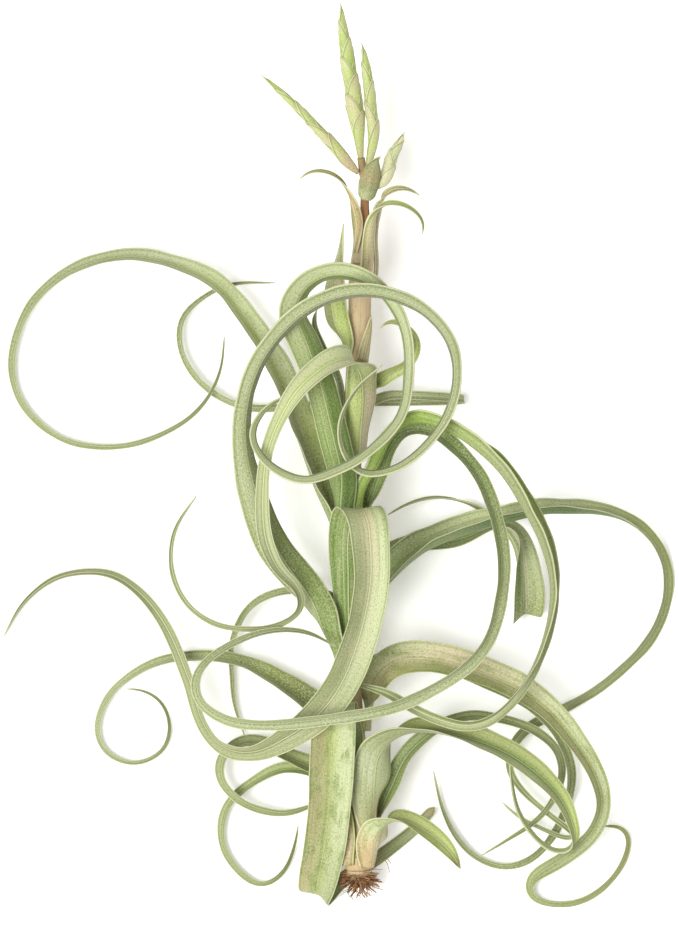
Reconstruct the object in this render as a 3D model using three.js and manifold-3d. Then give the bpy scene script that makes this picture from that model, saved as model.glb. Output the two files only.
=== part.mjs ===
// An air plant of the curly-leaved kind, picked and laid on its side on a flat surface.
// Millimetres, +Z up from the surface, +Y towards the flower spikes, +X to the right seen from above.
// Every leaf is a folded ribbon swept along a route of hand-chosen stations.

import * as THREE from "three";
import { mergeVertices } from "three/addons/utils/BufferGeometryUtils.js";
import Module from "manifold-3d";

const wasm = await Module();
wasm.setup();

// ---------------------------------------------------------------- driving dimensions

const MIDDLE_X = -0.21; // middle of the plant's box in the frame that the routes are given in
const MIDDLE_Y = -0.08;

const BLADE_THICK = 1.1; // leaf at its base
const TIP_THICK = 0.7; // leaf at its tip
const MERGE_WITHIN = 1e-4; // corners nearer than this are one corner
const SEAT_GAP = 0.35; // between a leaf's base and the stem
const SPAN_LENGTH = 13; // longest stretch of ribbon between two sections
const SPAN_SLACK = 0.3; // a stretch this share over a whole number of sections isn't cut again
const SPAN_TURN = 17 * Math.PI / 180; // most that a ribbon turns between two sections

// The stem's centre line, foot to the first flower bracts, with its radius there.
const STEM = [
  [9.8, -208, 14.3, 6.5], [9.6, -201, 14.8, 8], [10, -188, 15.5, 7.4], [10.5, -172, 16.5, 6.2],
  [8.5, -147, 18.5, 5.4], [6.5, -122, 20, 5.2], [5.5, -72, 23, 5.2], [5.5, -22, 25, 5.2],
  [8, 27, 26, 5.4], [9.8, 55, 26.8, 5.8], [10.6, 87, 28, 5.9], [11.4, 98, 28.6, 5.4],
  [12.1, 107, 29, 4.2], [12.7, 115, 29.4, 2.9], [12.9, 124, 29.8, 2.3], [12.6, 136, 30.3, 2.2],
  [11, 148.6, 31, 2],
];
const STEM_SIDES = 14;
const FLOOR_BLOCK = 1000;

const CORE_SIDES = 6; // axis of a flower spike
const CORE_TAPER = 0.55; // share of its radius that it has lost at its tip
const BRACT_FIRST = 0.06; // first and last bract, as shares of the spike's length
const BRACT_LAST = 0.9;
const BRACT_TAPER = 0.42; // share of its size that the last bract has lost
const BRACT_PROFILE = [[0, 0.25, 0.8], [0.28, 0.5, 1.5], [0.62, 0.62, 1.2], [1, 0.55, 0.16]];
const BRACT_FOLD = [0.55, 0.6];
const BRACT_THICK = [1, 0.7];

const PLUG_DEPTHS = [0, 2.4, 4.8, 6.8]; // root plug below the stem's foot
const PLUG_RADII = [0.98, 0.94, 0.7, 0.3]; // as shares of the foot's radius
const PLUG_SIDES = 8;
const ROOT_COUNT = 40;
const ROOT_RADIUS = 0.5;
const ROOT_SIDES = 4;
const ROOT_SHORTEST = 3.5;
const ROOT_LONGEST = 8;
const ROOT_STRAY = 4; // how far a tip strays across
const ROOT_DEPTH = 1.4; // where they start, below the foot
const ROOT_REACH = 0.7; // and out from the middle, as a share of the foot's radius
const ROOT_FAN = 0.9; // share of the half sphere that they point to
const ROOT_TIP = 0.6; // share of its radius that a root keeps at its tip
const ROOT_SEED = 7;
const GOLDEN_ANGLE = 137.5 * Math.PI / 180;

// ---------------------------------------------------------------- colours

const FINISH = {
  sage: { color: 0xaab88f, roughness: 0.62 },
  bright: { color: 0x8fb45e, roughness: 0.55 },
  green: { color: 0x7da065, roughness: 0.58 },
  cream: { color: 0xcfd4ac, roughness: 0.62 },
  mottled: { color: 0xbcc08a, roughness: 0.62 },
  tan: { color: 0xbfb684, roughness: 0.65 },
  olive: { color: 0x9aa25c, roughness: 0.6 },
  bract: { color: 0xc2d296, roughness: 0.5 },
  stem: { color: 0xd3b894, roughness: 0.7 },
  root: { color: 0x96603f, roughness: 0.85 },
};

// ---------------------------------------------------------------- solids

// Rings of points, one after the other, skinned into one closed solid with flat ends.
function loft(rings, capQuads) {
  const around = rings[0].length;
  const index = [];
  for (let i = 0; i + 1 < rings.length; i += 1) {
    for (let j = 0; j < around; j += 1) {
      const a = i * around + j;
      const b = i * around + (j + 1) % around;
      index.push(a, b, b + around, a, b + around, a + around);
    }
  }
  const last = (rings.length - 1) * around;
  for (const [a, b, c, d] of capQuads) {
    index.push(a, c, b, a, d, c);
    index.push(last + a, last + b, last + c, last + a, last + c, last + d);
  }
  const geometry = new THREE.BufferGeometry();
  const points = rings.flat().flatMap((p) => [p.x, p.y, p.z]);
  geometry.setAttribute("position", new THREE.Float32BufferAttribute(points, 3));
  geometry.setIndex(index);
  return geometry;
}

function toManifold(geometry) {
  const bare = geometry.clone();
  for (const name of Object.keys(bare.attributes)) {
    if (name !== "position") bare.deleteAttribute(name);
  }
  const merged = mergeVertices(bare, MERGE_WITHIN);
  const vertProperties = new Float32Array(merged.attributes.position.array);
  const triVerts = new Uint32Array(merged.index.array);
  return new wasm.Manifold(new wasm.Mesh({ numProp: 3, vertProperties, triVerts }));
}

function fromManifold(solid) {
  const mesh = solid.getMesh();
  const geometry = new THREE.BufferGeometry();
  geometry.setAttribute("position", new THREE.Float32BufferAttribute(mesh.vertProperties, 3));
  geometry.setIndex(new THREE.Uint32BufferAttribute(mesh.triVerts, 1));
  return geometry;
}

// Everything below the surface that the plant lies on.
const floorBlock = toManifold(
  new THREE.BoxGeometry(FLOOR_BLOCK, FLOOR_BLOCK, FLOOR_BLOCK).translate(0, 0, -FLOOR_BLOCK / 2));

// Where a leaf presses on the surface it is worn flat, so that it lies on a real flat spot.
function restOnFloor(geometry) {
  geometry.computeBoundingBox();
  return geometry.boundingBox.min.z < 0
    ? fromManifold(toManifold(geometry).subtract(floorBlock))
    : geometry;
}

function fuse(geometries) {
  let whole = toManifold(geometries[0]);
  for (const geometry of geometries.slice(1)) whole = whole.add(toManifold(geometry));
  return fromManifold(whole);
}

// ---------------------------------------------------------------- curves

const UP = new THREE.Vector3(0, 0, 1);

// A smooth line through points, with the places to put a section: close together where it turns.
function smoothLine(points) {
  const curve = new THREE.CatmullRomCurve3(points, false, "centripetal");
  const spans = points.length - 1;
  const places = [0];
  for (let i = 0; i < spans; i += 1) {
    const from = curve.getTangent(i / spans);
    const to = curve.getTangent((i + 1) / spans);
    const turn = from.angleTo(to) / SPAN_TURN;
    const length = points[i].distanceTo(points[i + 1]) / SPAN_LENGTH;
    const pieces = Math.max(1, Math.round(Math.max(turn, length) + SPAN_SLACK));
    for (let k = 1; k <= pieces; k += 1) places.push((i + k / pieces) / spans);
  }
  return { curve, places };
}

// The way the upper face looks at roll: 0 is up, + leans it to the right of the way along, - to the left.
function lean(tangent, roll) {
  const side = new THREE.Vector3().crossVectors(tangent, UP).normalize();
  const up = new THREE.Vector3().crossVectors(side, tangent);
  const angle = THREE.MathUtils.degToRad(roll);
  return up.multiplyScalar(Math.cos(angle)).addScaledVector(side, Math.sin(angle));
}

// ---------------------------------------------------------------- leaves

// A leaf is a ribbon folded along its middle. A station is [x, y, z, width, face, fold]. The face is a roll
// in degrees or the direction [x, y, z] of the upper face, the one inside the fold. The fold is its depth
// as a share of the width, and goes evenly from the leaf's base to its tip where a station gives none.
function ribbon(stations, { fold = [0.34, 0.2], thick = [BLADE_THICK, TIP_THICK] } = {}) {
  const { curve, places } = smoothLine(stations.map(([x, y, z]) => new THREE.Vector3(x, y, z)));
  const spans = stations.length - 1;
  const faces = new THREE.CatmullRomCurve3(
    stations.map(([, , , , face], i) => (Array.isArray(face)
      ? new THREE.Vector3(...face).normalize()
      : lean(curve.getTangent(i / spans), face))), false, "catmullrom");
  const widths = new THREE.CatmullRomCurve3(
    stations.map(([, , , width, , depth], i) => new THREE.Vector3(
      width, depth ?? THREE.MathUtils.lerp(fold[0], fold[1], i / spans), 0)), false, "catmullrom");
  const rings = places.map((t) => {
    const tangent = curve.getTangent(t);
    const face = faces.getPoint(t);
    face.addScaledVector(tangent, -face.dot(tangent)).normalize();
    const side = new THREE.Vector3().crossVectors(tangent, face);
    const { x: width, y: share } = widths.getPoint(t);
    const depth = width * share;
    const half = THREE.MathUtils.lerp(thick[0], thick[1], t) / 2;
    const centre = curve.getPoint(t);
    const at = (across, up) => centre.clone().addScaledVector(side, across).addScaledVector(face, up);
    return [
      at(-width / 2, depth / 2 + half), at(0, half - depth / 2), at(width / 2, depth / 2 + half),
      at(width / 2, depth / 2 - half), at(0, -depth / 2 - half), at(-width / 2, depth / 2 - half),
    ];
  });
  return loft(rings, [[0, 1, 4, 5], [1, 2, 3, 4]]);
}

const stemPoint = ([x, y, z]) => new THREE.Vector3(x, y, z);
const stemLine = () => smoothLine(STEM.map(stemPoint));

// Where the stem is, and how thick, at a height along it.
function stemAt(y) {
  const next = Math.max(1, STEM.findIndex((ring) => ring[1] >= y));
  const [a, b] = [STEM[next - 1], STEM[next]];
  const share = (y - a[1]) / (b[1] - a[1]);
  return [0, 2, 3].map((k) => THREE.MathUtils.lerp(a[k], b[k], share));
}

// A station that clasps the stem: azimuth 0 is its upper side, 90 its right, 180 below and 270 its left.
function clasp(y, azimuth, width, lift = 0, fold = 0.34) {
  const [x, z, radius] = stemAt(y);
  const angle = THREE.MathUtils.degToRad(azimuth);
  const slope = Math.atan(2 * fold);
  const keel = (radius + SEAT_GAP + BLADE_THICK / 2) / Math.cos(slope) + lift;
  const reach = keel - width * fold / 2;
  const out = [Math.sin(angle), Math.cos(angle)];
  return [x + out[0] * reach, y, z + out[1] * reach, width, [-out[0], 0, -out[1]]];
}

const LEAVES = {
  leaf_great_left: { finish: "sage", stations: [
    clasp(-52, 261, 12, 0.2), clasp(-38, 258, 12, 1.3), [-10, -14, 20.5, 16, 62],
    [-18.5, 12, 20, 18.5, 50], [-31, 42.5, 18, 17, 46], [-45, 66, 17, 13.6, 42],
    [-61.5, 86, 16, 11.5, 40], [-78.5, 94.5, 15, 9.8, 40], [-105, 100, 12, 8.4, 42],
    [-134.5, 92.5, 9, 7.2, 44], [-155.5, 73.5, 6, 6.2, 46], [-164, 46, 2.6, 5.8, 48],
    [-158.5, 25.5, 1.7, 5.2, 48], [-138, 8, 2.2, 4.4, 46], [-107.5, 5, 4, 4, 44],
    [-78.5, 16.5, 9, 3, 40], [-66, 29, 12, 2.4, 40], [-59.5, 43.5, 14, 1.8, 40],
    [-57.5, 59.5, 15, 0.9, 40]] },
  leaf_grand_curl: { finish: "sage", stations: [
    clasp(-112, 290, 11), clasp(-101, 292, 13, 1.2), [-5.5, -87, 31, 15, [0.8, 0.1, -0.6]],
    [-12, -73, 34.5, 16.5, [0.4, 0.2, -0.9]], [-32, -46, 39, 17, -170], [-42, -20.5, 45, 15.5, -160],
    [-47.5, 6, 50, 11.5, -150], [-46, 28, 55, 10.5, -144], [-38, 49, 61, 10, -142],
    [-18, 71, 70, 10, -140], [3, 80, 75, 9.5, -138], [21, 80, 77, 9, -138], [41, 72, 78, 8, -138],
    [55, 56, 77, 7, -138], [58, 38, 75, 6.4, -138], [53, 19, 72, 6, -138], [40, 2, 67, 5.4, -138],
    [26, -7, 63, 5, -138], [11, -8, 57, 4.4, -138], [2, 3, 55, 3.6, -138], [1, 17, 55, 2.8, -138],
    [9, 33, 56, 2, -138], [21.5, 44.5, 58, 0.9, -138]] },
  leaf_broad_arch: { finish: "green", stations: [
    clasp(-38, 333, 8.2), clasp(-26, 332, 11.2, 2), [1.5, -10, 37.5, 14.5, [0.1, 0.2, -1]],
    [-3, 10, 42, 15.5, 176], [-9.5, 36, 48, 15, 180], [-16.5, 55, 53, 15.5, -168],
    [-22.5, 71, 56, 15, -152], [-17.5, 83.5, 59, 12, -144], [-4, 90.5, 60, 11, -140],
    [14, 87, 61, 9.5, -138], [27, 74, 61, 8, -138], [33, 60, 61, 7.2, -138], [34, 38, 61, 6.8, -138],
    [30, 19, 63, 6.4, -138], [12, 0, 66, 6.2, -138], [-2, -7.5, 67, 6, -138], [-17, -12, 67, 5.6, -138],
    [-31, -7, 65, 5.4, -138], [-40, 2, 63, 5, -138], [-42.5, 12, 62, 4.4, -138], [-35, 24, 60, 3, -138],
    [-22, 31, 57, 0.9, -138]] },
  leaf_pale_fold: { finish: "cream", fold: [0.34, 0.16], stations: [
    clasp(-2, 28, 11.5), clasp(12, 24, 13.5, 0.8), [11.4, 28, 36.8, 15.5, [-0.2, 0.1, -1]],
    [11.2, 37, 40.5, 15, [-0.1, 0.3, -1]], [11, 43.6, 45, 14.5, [0.35, 0.8, -0.6]],
    [8.4, 47.8, 51, 13.5, [0.6, 0.85, 0.2]], [3.4, 48.6, 56.6, 13, [0.15, 0.7, 0.9]],
    [-3.6, 46.6, 60.8, 13, [-0.2, 0.3, 1]], [-11.4, 41.4, 63.6, 11.8, [-0.25, 0.25, 1]],
    [-21, 32, 64.5, 9.6, 12], [-30, 17, 61, 7.4, 14], [-36, 0, 57, 6.6, 16], [-38, -22, 54.5, 7, 12],
    [-36.5, -42, 52, 7.4, 0], [-30, -57, 50, 6.6, -20], [-21, -67, 47.5, 5.6, -40],
    [-19.5, -76, 44, 5, -50], [-27, -83, 39, 4.6, -50], [-40, -86.5, 32, 4.4, -50],
    [-61, -84.5, 28, 4.2, -48], [-76, -74, 25, 4, -46], [-83.5, -57, 23, 3.6, -44],
    [-82, -38, 22, 2.8, -44], [-71.5, -20.5, 22, 0.9, -44]] },
  leaf_bright_right: { finish: "bright", stations: [
    clasp(-30, 40, 7.6), clasp(-18, 47, 8, 1.4), [18.6, -4, 35.5, 8.6, [-0.5, 0.4, -0.8]],
    [24, 8, 42, 10.5, -120], [32, 16, 47, 12, -110, 0.3], [42.5, 18.5, 51, 13, -102, 0.36],
    [57, 13.5, 56, 13, -96, 0.42], [70.5, 4.5, 59, 12, -88, 0.5], [82, -6.5, 60, 11, -80, 0.56],
    [95, -27, 58, 10, -72, 0.6], [103, -44, 56, 9.5, -70, 0.6], [107, -62, 54, 8, -78, 0.5],
    [106, -80, 51, 7.6, -76, 0.44], [98.5, -104, 48, 7, -66, 0.36], [87, -122, 45, 6.6, -50],
    [74.5, -132.5, 44, 6.2, -38], [63, -135, 43.5, 5.8, -30], [50, -132, 43, 5.4, -16],
    [38, -127, 42.5, 5, 0], [24, -119, 40, 4.4, 10], [7, -114, 37, 1.4, 10]] },
  leaf_mid_right: { finish: "sage", stations: [
    clasp(-42, 108, 8.4), clasp(-30, 108, 9, 1.6), [19.8, -11, 28, 9.6, -20], [24.5, 3, 34, 10.5, -26],
    [30, 10.5, 37.5, 10.5, -32], [37, 13, 40.5, 10, -38], [45, 12, 43, 9.8, -42],
    [53.5, 7, 45, 9.6, -42], [69, -10, 51, 9.2, -42], [77, -29.5, 56, 9, -42], [81, -49, 60, 8.8, -42],
    [80.5, -67.5, 61, 8.4, -42], [74.5, -91, 61, 8, -42], [63.5, -105, 60, 8, -42],
    [47, -116, 58, 8, -42], [27, -125, 57.5, 8, -40], [-8, -131.5, 56, 7.6, -40],
    [-38.5, -134, 53, 7, -40], [-56, -131.5, 50, 6.8, -42], [-68.5, -123, 46, 6.6, -44],
    [-71, -112.5, 44, 6.2, -44], [-65, -102.5, 41, 5.2, -42], [-48, -92, 39, 4.4, -40],
    [-30.5, -87.5, 40, 3.6, -38], [-15, -89, 42, 2.6, -38], [-1, -96, 43.5, 0.9, -38]] },
  leaf_front_fold: { finish: "cream", fold: [0.3, 0.16], stations: [
    clasp(-98, 356, 10.6), clasp(-84, 354, 12.6, 1.3), [4.5, -58, 37.5, 18, [0, 0.1, -1], 0.26],
    [4.5, -41, 42.5, 19.5, [0, 0.4, -1], 0.18], [7, -29, 49, 21, [0, 1, -0.4], 0.07],
    [10.5, -26.5, 56, 21, [0.1, 1, 0.4], 0.04], [14, -32, 62, 20, [0.1, 0.4, 1], 0.08],
    [15.6, -45, 65, 19, [0.1, 0.05, 1], 0.15], [16, -62, 64, 18, [0.2, 0, 1], 0.2],
    [12.8, -82, 59.5, 17.5, [0.25, 0, 1]], [8, -98, 55, 17.5, [0.2, 0.05, 1]],
    [1, -114.5, 50, 17, [0.15, 0.1, 1]], [-9, -128, 45, 16, [0.1, 0.1, 1]], [-24, -140, 38.5, 13, -14],
    [-44, -149, 29, 9.4, -34], [-59, -146, 24, 8.4, -44], [-68.5, -134, 21, 8, -44],
    [-74.5, -115, 19, 7.2, -34], [-88, -84, 15, 5.8, -8], [-102.5, -67, 12, 5, 20],
    [-117, -59.5, 9, 4.6, 36], [-141, -61.5, 4.6, 4, 44], [-158, -74, 2.2, 3, 44],
    [-168.5, -91, 1.4, 0.9, 44]] },
  leaf_front_hanging: { finish: "mottled", fold: [0.3, 0.02], thick: [1.1, 0.9], stations: [
    clasp(-150, 354, 8), clasp(-140, 352, 10.5, 1.2), [3.5, -131, 29.5, 13.5, [0.05, 0.25, -1], 0.24],
    [1.5, -124.5, 31.5, 16, [0.05, 0.9, -0.6], 0.08], [0, -122.8, 34.6, 18, [0.05, 1, 0.3], 0.04],
    [-1.5, -127, 36.8, 20, [0.1, 0.5, 1], 0.08], [-3, -140, 36.2, 22.5, [0.1, 0, 1], 0.2],
    [-4, -158, 34.5, 22.5, [0.1, -0.1, 1]], [-5, -176, 31, 21.5, [0.1, -0.1, 1]],
    [-7.5, -197.5, 24, 21, [0, -0.3, 1]], [-10.5, -213, 16.5, 19.5, [-0.1, -0.6, 0.8]],
    [-11.2, -221.5, 9, 16, [-0.3, -1, 0]], [-7, -221.5, 3.2, 10.5, [-0.4, -0.6, -0.9]],
    [0, -215, 1.2, 8, [0, 0, -1], 0.03], [8, -209.5, 0.3, 7.5, [0, 0, -1], 0],
    [18, -203.5, 0.3, 7.2, [0, 0, -1], 0], [27, -197, 0.3, 6.6, [0, 0, -1], 0],
    [38, -188, 1.6, 6, [0, 0, -1], 0.02], [48, -177, 4, 4.4, [0, 0, -1], 0.02]] },
  leaf_left_curl: { finish: "sage", stations: [
    clasp(-150, 254, 11), clasp(-142, 256, 12, 1.6), [-13, -125.5, 16, 15, 40],
    [-34.5, -111, 15, 12, 46], [-46.5, -105, 13, 9.5, 48], [-64.5, -101.5, 10, 8, 48],
    [-88, -103.5, 6.5, 6.6, 48], [-102.5, -110, 4.5, 5.8, 48], [-115, -121, 2.8, 5.2, 48],
    [-121, -137, 1.9, 4.8, 48], [-117, -148.5, 1.7, 4.2, 48], [-102.5, -154.5, 1.6, 3.4, 46],
    [-88.5, -147.5, 2.4, 3, 46], [-85.5, -135, 3.4, 2.6, 46], [-90, -124, 4.4, 2.2, 44],
    [-99, -118.5, 5.4, 1.6, 44], [-107, -117.5, 6, 0.9, 44]] },
  leaf_low_left: { finish: "olive", stations: [
    clasp(-170, 262, 10), clasp(-163, 260, 11, 1.6), [-14, -156, 15, 11, 40], [-28.5, -150, 14, 10, 48],
    [-40, -144.5, 13, 9.5, 52], [-50, -145, 12, 8.5, 52], [-58, -152, 11, 7, 48],
    [-59, -162, 10.5, 6, 44], [-50, -173, 10, 5.4, 42], [-38.5, -178, 9, 5, 42],
    [-26.5, -179.5, 8, 4.4, 42], [-15.5, -176.5, 7, 3, 42], [-10, -174.5, 6.6, 0.9, 42]] },
  leaf_bottom_left: { finish: "bright", stations: [
    clasp(-180, 232, 9), clasp(-172, 234, 9, 1.5), [-10, -160, 9, 8.5, 30], [-26.5, -157.5, 7, 7.5, 40],
    [-37, -161, 5.5, 6.8, 44], [-54, -174, 3, 6, 48], [-58.5, -185, 2.2, 5.8, 48],
    [-57, -199, 2, 5.2, 48], [-46.5, -212, 2, 4.8, 46], [-38, -215.5, 2, 4, 46],
    [-28, -209, 2.8, 3, 44], [-22.5, -196, 4, 2, 44], [-20.5, -186, 5, 0.9, 44]] },
  leaf_thin_left: { finish: "sage", stations: [
    clasp(-80, 236, 7), clasp(-74, 240, 7, 1.6), [-16, -68.5, 16, 6, 36], [-26, -68.5, 15, 5.4, 44],
    [-37, -71.5, 13, 5, 44], [-45, -77, 11.5, 4.8, 44], [-51, -87, 9, 4.4, 44],
    [-54, -98.5, 5.6, 4, 44], [-53.5, -110, 3.6, 3.4, 40], [-52.5, -124, 3.4, 2.6, 40],
    [-47.5, -141, 4, 0.9, 40]] },
  leaf_back_straight: { finish: "sage", stations: [
    clasp(15, 150, 6), clasp(22, 146, 5.6, 1.2), [23, 29.3, 13.5, 5, -16], [38, 29.8, 11.5, 4.8, -12],
    [54, 29, 8.6, 4.6, [0, 0.1, 1]], [61.5, 28.3, 7.2, 4.4, [0.5, 0.1, 1], 0.14],
    [63.8, 28, 4.6, 4.2, [1, 0, 0], 0.08], [60.5, 27.6, 2, 4.2, [0.4, 0, -1], 0.14],
    [48, 27, 1, 4.2, [0, 0.1, -1]], [20, 26.5, 1, 4.2, [0, 0.3, -1]],
    [-8, 26.5, 2.4, 4.6, [0, 0.8, -0.7]], [-26, 24.5, 4.4, 4.6, [0, -0.4, 1]], [-44, 24, 6, 4.6, -36],
    [-58, 28.5, 6.4, 4.4, -40], [-71, 38.5, 6, 4.2, -42], [-79, 53, 6, 4.2, -44],
    [-78.5, 68, 6, 4, -44], [-68, 79, 6, 3.4, -42], [-54, 85.5, 6.6, 2.6, -40],
    [-32, 86.5, 8.6, 0.9, -40]] },
  leaf_olive_hook: { finish: "olive", stations: [
    clasp(24, 78, 8), clasp(32, 76, 8, 1.6), [25, 40.5, 32, 7.6, 20], [32, 44, 35, 7, 34],
    [37, 50.5, 38, 6.6, 44], [37.5, 58, 40, 6, 50], [31, 65, 40.5, 4.6, 48], [24.5, 66.5, 39.5, 3, 44],
    [20.5, 63.5, 38.5, 0.9, 44]] },
  leaf_stem_left: { finish: "olive", stations: [
    clasp(50, 302, 6.5), clasp(57, 301, 10, 0.9), [-1, 66, 33.8, 12.4, [0.5, 0, -0.9]],
    [-2.8, 77, 35, 12.5, [0.5, 0, -0.9]], [-2.2, 87, 36, 10.5, [0.5, 0, -0.9]],
    [-0.4, 97, 36.5, 5.6, [0.7, 0, -0.7]], [1.4, 108, 36, 3, [0.8, 0, -0.5]],
    [2.2, 115.5, 35.5, 0.9, [0.8, 0, -0.5]]] },
  leaf_stem_dark: { finish: "green", stations: [
    clasp(20, 300, 4.2), clasp(27, 300, 4.4, 0.9), [-0.6, 38.5, 32, 4, [0.5, 0.1, -0.9]],
    [-5.6, 49, 33.5, 4.4, -30], [-10, 59, 36.5, 3.8, -34], [-12.5, 67, 39, 3.2, -36],
    [-11, 72.5, 40.5, 0.9, -36]] },
  leaf_great_right: { finish: "green", stations: [
    clasp(-88, 114, 10), clasp(-78, 113, 11.6, 1.4), [24, -60, 24.5, 20, -56],
    [40, -46, 26, 18.5, -62, 0.4], [58.5, -37.5, 27, 16, -66, 0.46], [73, -33, 28, 14.5, -68, 0.5],
    [87.5, -29.5, 28, 13, -70, 0.5], [101.5, -26.5, 27, 12, -70, 0.5],
    [116, -26.5, 24.5, 11.5, -70, 0.48], [130, -27.5, 21, 10, -66, 0.42],
    [144.5, -32, 16, 8.4, -60, 0.34], [156.5, -41.5, 10, 7.8, -52], [163.5, -54, 5, 7.4, -46],
    [165, -67.5, 2.3, 7.2, -44], [161, -83, 1.9, 7.2, -44], [153.5, -95.5, 2.4, 7.4, -46],
    [141, -108, 3, 7.4, -50], [128.5, -118, 3.6, 7, -50], [112, -127.5, 5, 6.4, -40],
    [95.5, -136.5, 6.6, 5.6, -20], [87, -147, 8, 4.6, 0], [86, -158, 8.4, 4, 16],
    [92, -168, 9, 3.6, 24], [104, -179, 9.6, 3.2, 30], [114.5, -187.5, 9.8, 3, [0.2, 0.2, 1]],
    [118.6, -191.2, 8.5, 2.8, [0.9, -0.9, 0.2]], [115.5, -192.6, 6.8, 2.6, [0.1, -0.2, -1]],
    [105, -189, 6.6, 2.4, [-0.3, 0.4, -1]], [90, -181.5, 6.6, 1.8, [-0.2, 0.4, -1]],
    [81.5, -174, 6.8, 0.9, [-0.2, 0.4, -1]]] },
  leaf_tan_right: { finish: "tan", stations: [
    clasp(-138, 88, 10, 0.3), clasp(-128, 86, 11, 1.9), [17.5, -114, 25.5, 13, -4],
    [23.5, -106, 27.5, 15.5, -8], [32, -102, 29, 16.5, -12], [44, -101.5, 29.5, 16, -16],
    [56, -103.5, 29.5, 15.5, -18], [74.5, -109.5, 29, 15, -20], [91.5, -117.5, 28, 14.5, -22],
    [106, -128.5, 27, 12.5, -24], [117, -141.5, 25, 11.5, -26], [126, -155, 23, 10, -28],
    [131.3, -168.5, 21, 9, -30], [131.5, -179, 19, 8.4, -30], [126.5, -190, 16.5, 8, -28],
    [116.5, -199.5, 13, 7.6, -20], [105.5, -207, 8.6, 7, 0], [98, -212.5, 5, 6.4, 34],
    [96, -218, 3, 6, 58], [99.5, -223, 2.2, 5.8, 60], [110.5, -225.5, 1.8, 5.6, 58],
    [122.5, -223.5, 1.8, 5.4, 56], [134.5, -215.5, 2, 5, 54], [143, -203.5, 2.2, 4.4, 50],
    [145, -192, 3, 3.6, 48], [141.5, -187.5, 4, 3, 46], [132.5, -186.5, 5, 1, 46]] },
  leaf_low_arch: { finish: "bright", fold: [0.34, 0.22], stations: [
    clasp(-188, 42, 11), clasp(-177, 40, 16, 0.8), [17, -161, 28.5, 19.5, [-0.25, 0.1, -1]],
    [18.6, -149.5, 31, 18, [-0.3, 0.5, -0.9]], [24.5, -141, 34.5, 16, [-0.35, 0.9, -0.25]],
    [34.5, -136.6, 36.5, 15, [-0.1, 0.97, 0.2]], [47, -136.2, 37.2, 14.5, [0, 0.9, 0.45]],
    [61, -139.2, 37, 14, -50], [76, -144.5, 36, 13, -36], [90, -152, 33.5, 12.5, -28],
    [104.5, -164, 30, 11, -28], [113, -175, 27, 8.5, -26], [117.5, -187, 24, 5.6, -16],
    [118, -193, 21, 5, [0.6, -0.8, 0.3]], [115, -197.5, 19.2, 4.4, [0.4, -0.8, -0.5]],
    [107, -197.5, 18.5, 4.2, [-0.2, -0.8, -0.6]], [97.5, -190, 18, 4, [-0.6, -0.5, -0.6]],
    [90, -178, 17.6, 3.6, [-0.8, -0.3, -0.6]], [86.8, -164, 17.4, 2.6, [-0.9, 0, -0.6]],
    [85.5, -153.5, 17.4, 0.9, [-0.9, 0, -0.6]]] },
  leaf_low_thin: { finish: "green", stations: [
    clasp(-192, 130, 8), clasp(-182, 122, 8.6, 2.2), [27, -164, 19, 9, -20], [32.5, -152, 20, 9, -30],
    [42, -142, 20.5, 8.4, -36], [54, -134.5, 21, 7.4, -42], [66, -131, 21, 6.6, -44],
    [82.5, -133, 20, 6.2, -44], [97, -138, 18.5, 6, -44], [108, -147, 16.6, 5.8, -44],
    [111.5, -158, 14.6, 5.4, -44], [108, -171, 13.4, 4.6, -42], [99, -183, 12.2, 3.6, -40],
    [86, -192, 11, 2.4, -40], [71.5, -201, 10, 0.9, -40]] },
  leaf_low_sickle: { finish: "sage", stations: [
    clasp(-114, 134, 8), clasp(-108, 130, 8, 1.6), [30, -101, 15, 7.4, -10], [50, -105, 16, 7, -20],
    [74.5, -115, 16.5, 6.8, -30], [97, -127, 15, 6.6, -36], [109, -140, 12.5, 6.4, -42],
    [116, -157, 9.4, 6.2, -44], [115, -172, 5.6, 6, -44], [109, -188, 1.8, 5.6, -44],
    [98, -201.5, 1.5, 5.2, -44], [85, -206.5, 1.5, 4.6, -44], [71, -203, 1.6, 4.2, -44],
    [60, -193, 2, 3.6, -44], [52.5, -178.5, 3, 2.6, -44], [47.5, -159, 4.6, 0.9, -44]] },
  leaf_basal_right: { finish: "olive", fold: [0.34, 0.24], stations: [
    clasp(-206.5, 44, 10), clasp(-200, 40, 14, 0.8), [17.2, -192.5, 28.6, 16, [-0.3, 0.15, -1]],
    [19.4, -186.4, 31, 14.5, [-0.3, 0.7, -0.7]], [23.8, -182.4, 33.4, 12.6, [-0.3, 0.95, 0]],
    [30, -181, 34.2, 11.4, [-0.1, 0.9, 0.4]], [38, -184.4, 33.5, 10.6, -40],
    [47.5, -190.5, 31, 9.6, -24], [56, -199, 28, 6.6, -16], [61, -207.5, 26, 1, -10]] },
  leaf_basal_left: { finish: "tan", stations: [
    clasp(-205.5, 302, 10.5), clasp(-199, 302, 13.4, 0.3), clasp(-190, 304, 14, 1),
    clasp(-182, 306, 11.6, 1.8), clasp(-175, 306, 7, 1.8), clasp(-167.5, 306, 1.6, 1.6)] },
  leaf_back_hanging: { finish: "sage", stations: [
    clasp(-70, 184, 9), clasp(-62, 180, 9, 1.8), [32, -46, 12, 9.5, -10], [60, -42, 12, 9.6, -24],
    [77, -35.5, 13, 9, [-0.1, 0.7, 0.7]], [87, -36, 14.5, 9, [0.5, 0.8, 0.4]],
    [92.4, -43.5, 16, 11, [0.8, 0.2, 0.6]], [93.6, -54.5, 16.8, 14.4, [0.55, 0, 0.85]],
    [94.6, -67.5, 15.8, 16.6, [0.45, -0.1, 0.9]], [94.4, -78, 13.2, 16.4, [0.35, -0.5, 0.8]],
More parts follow.
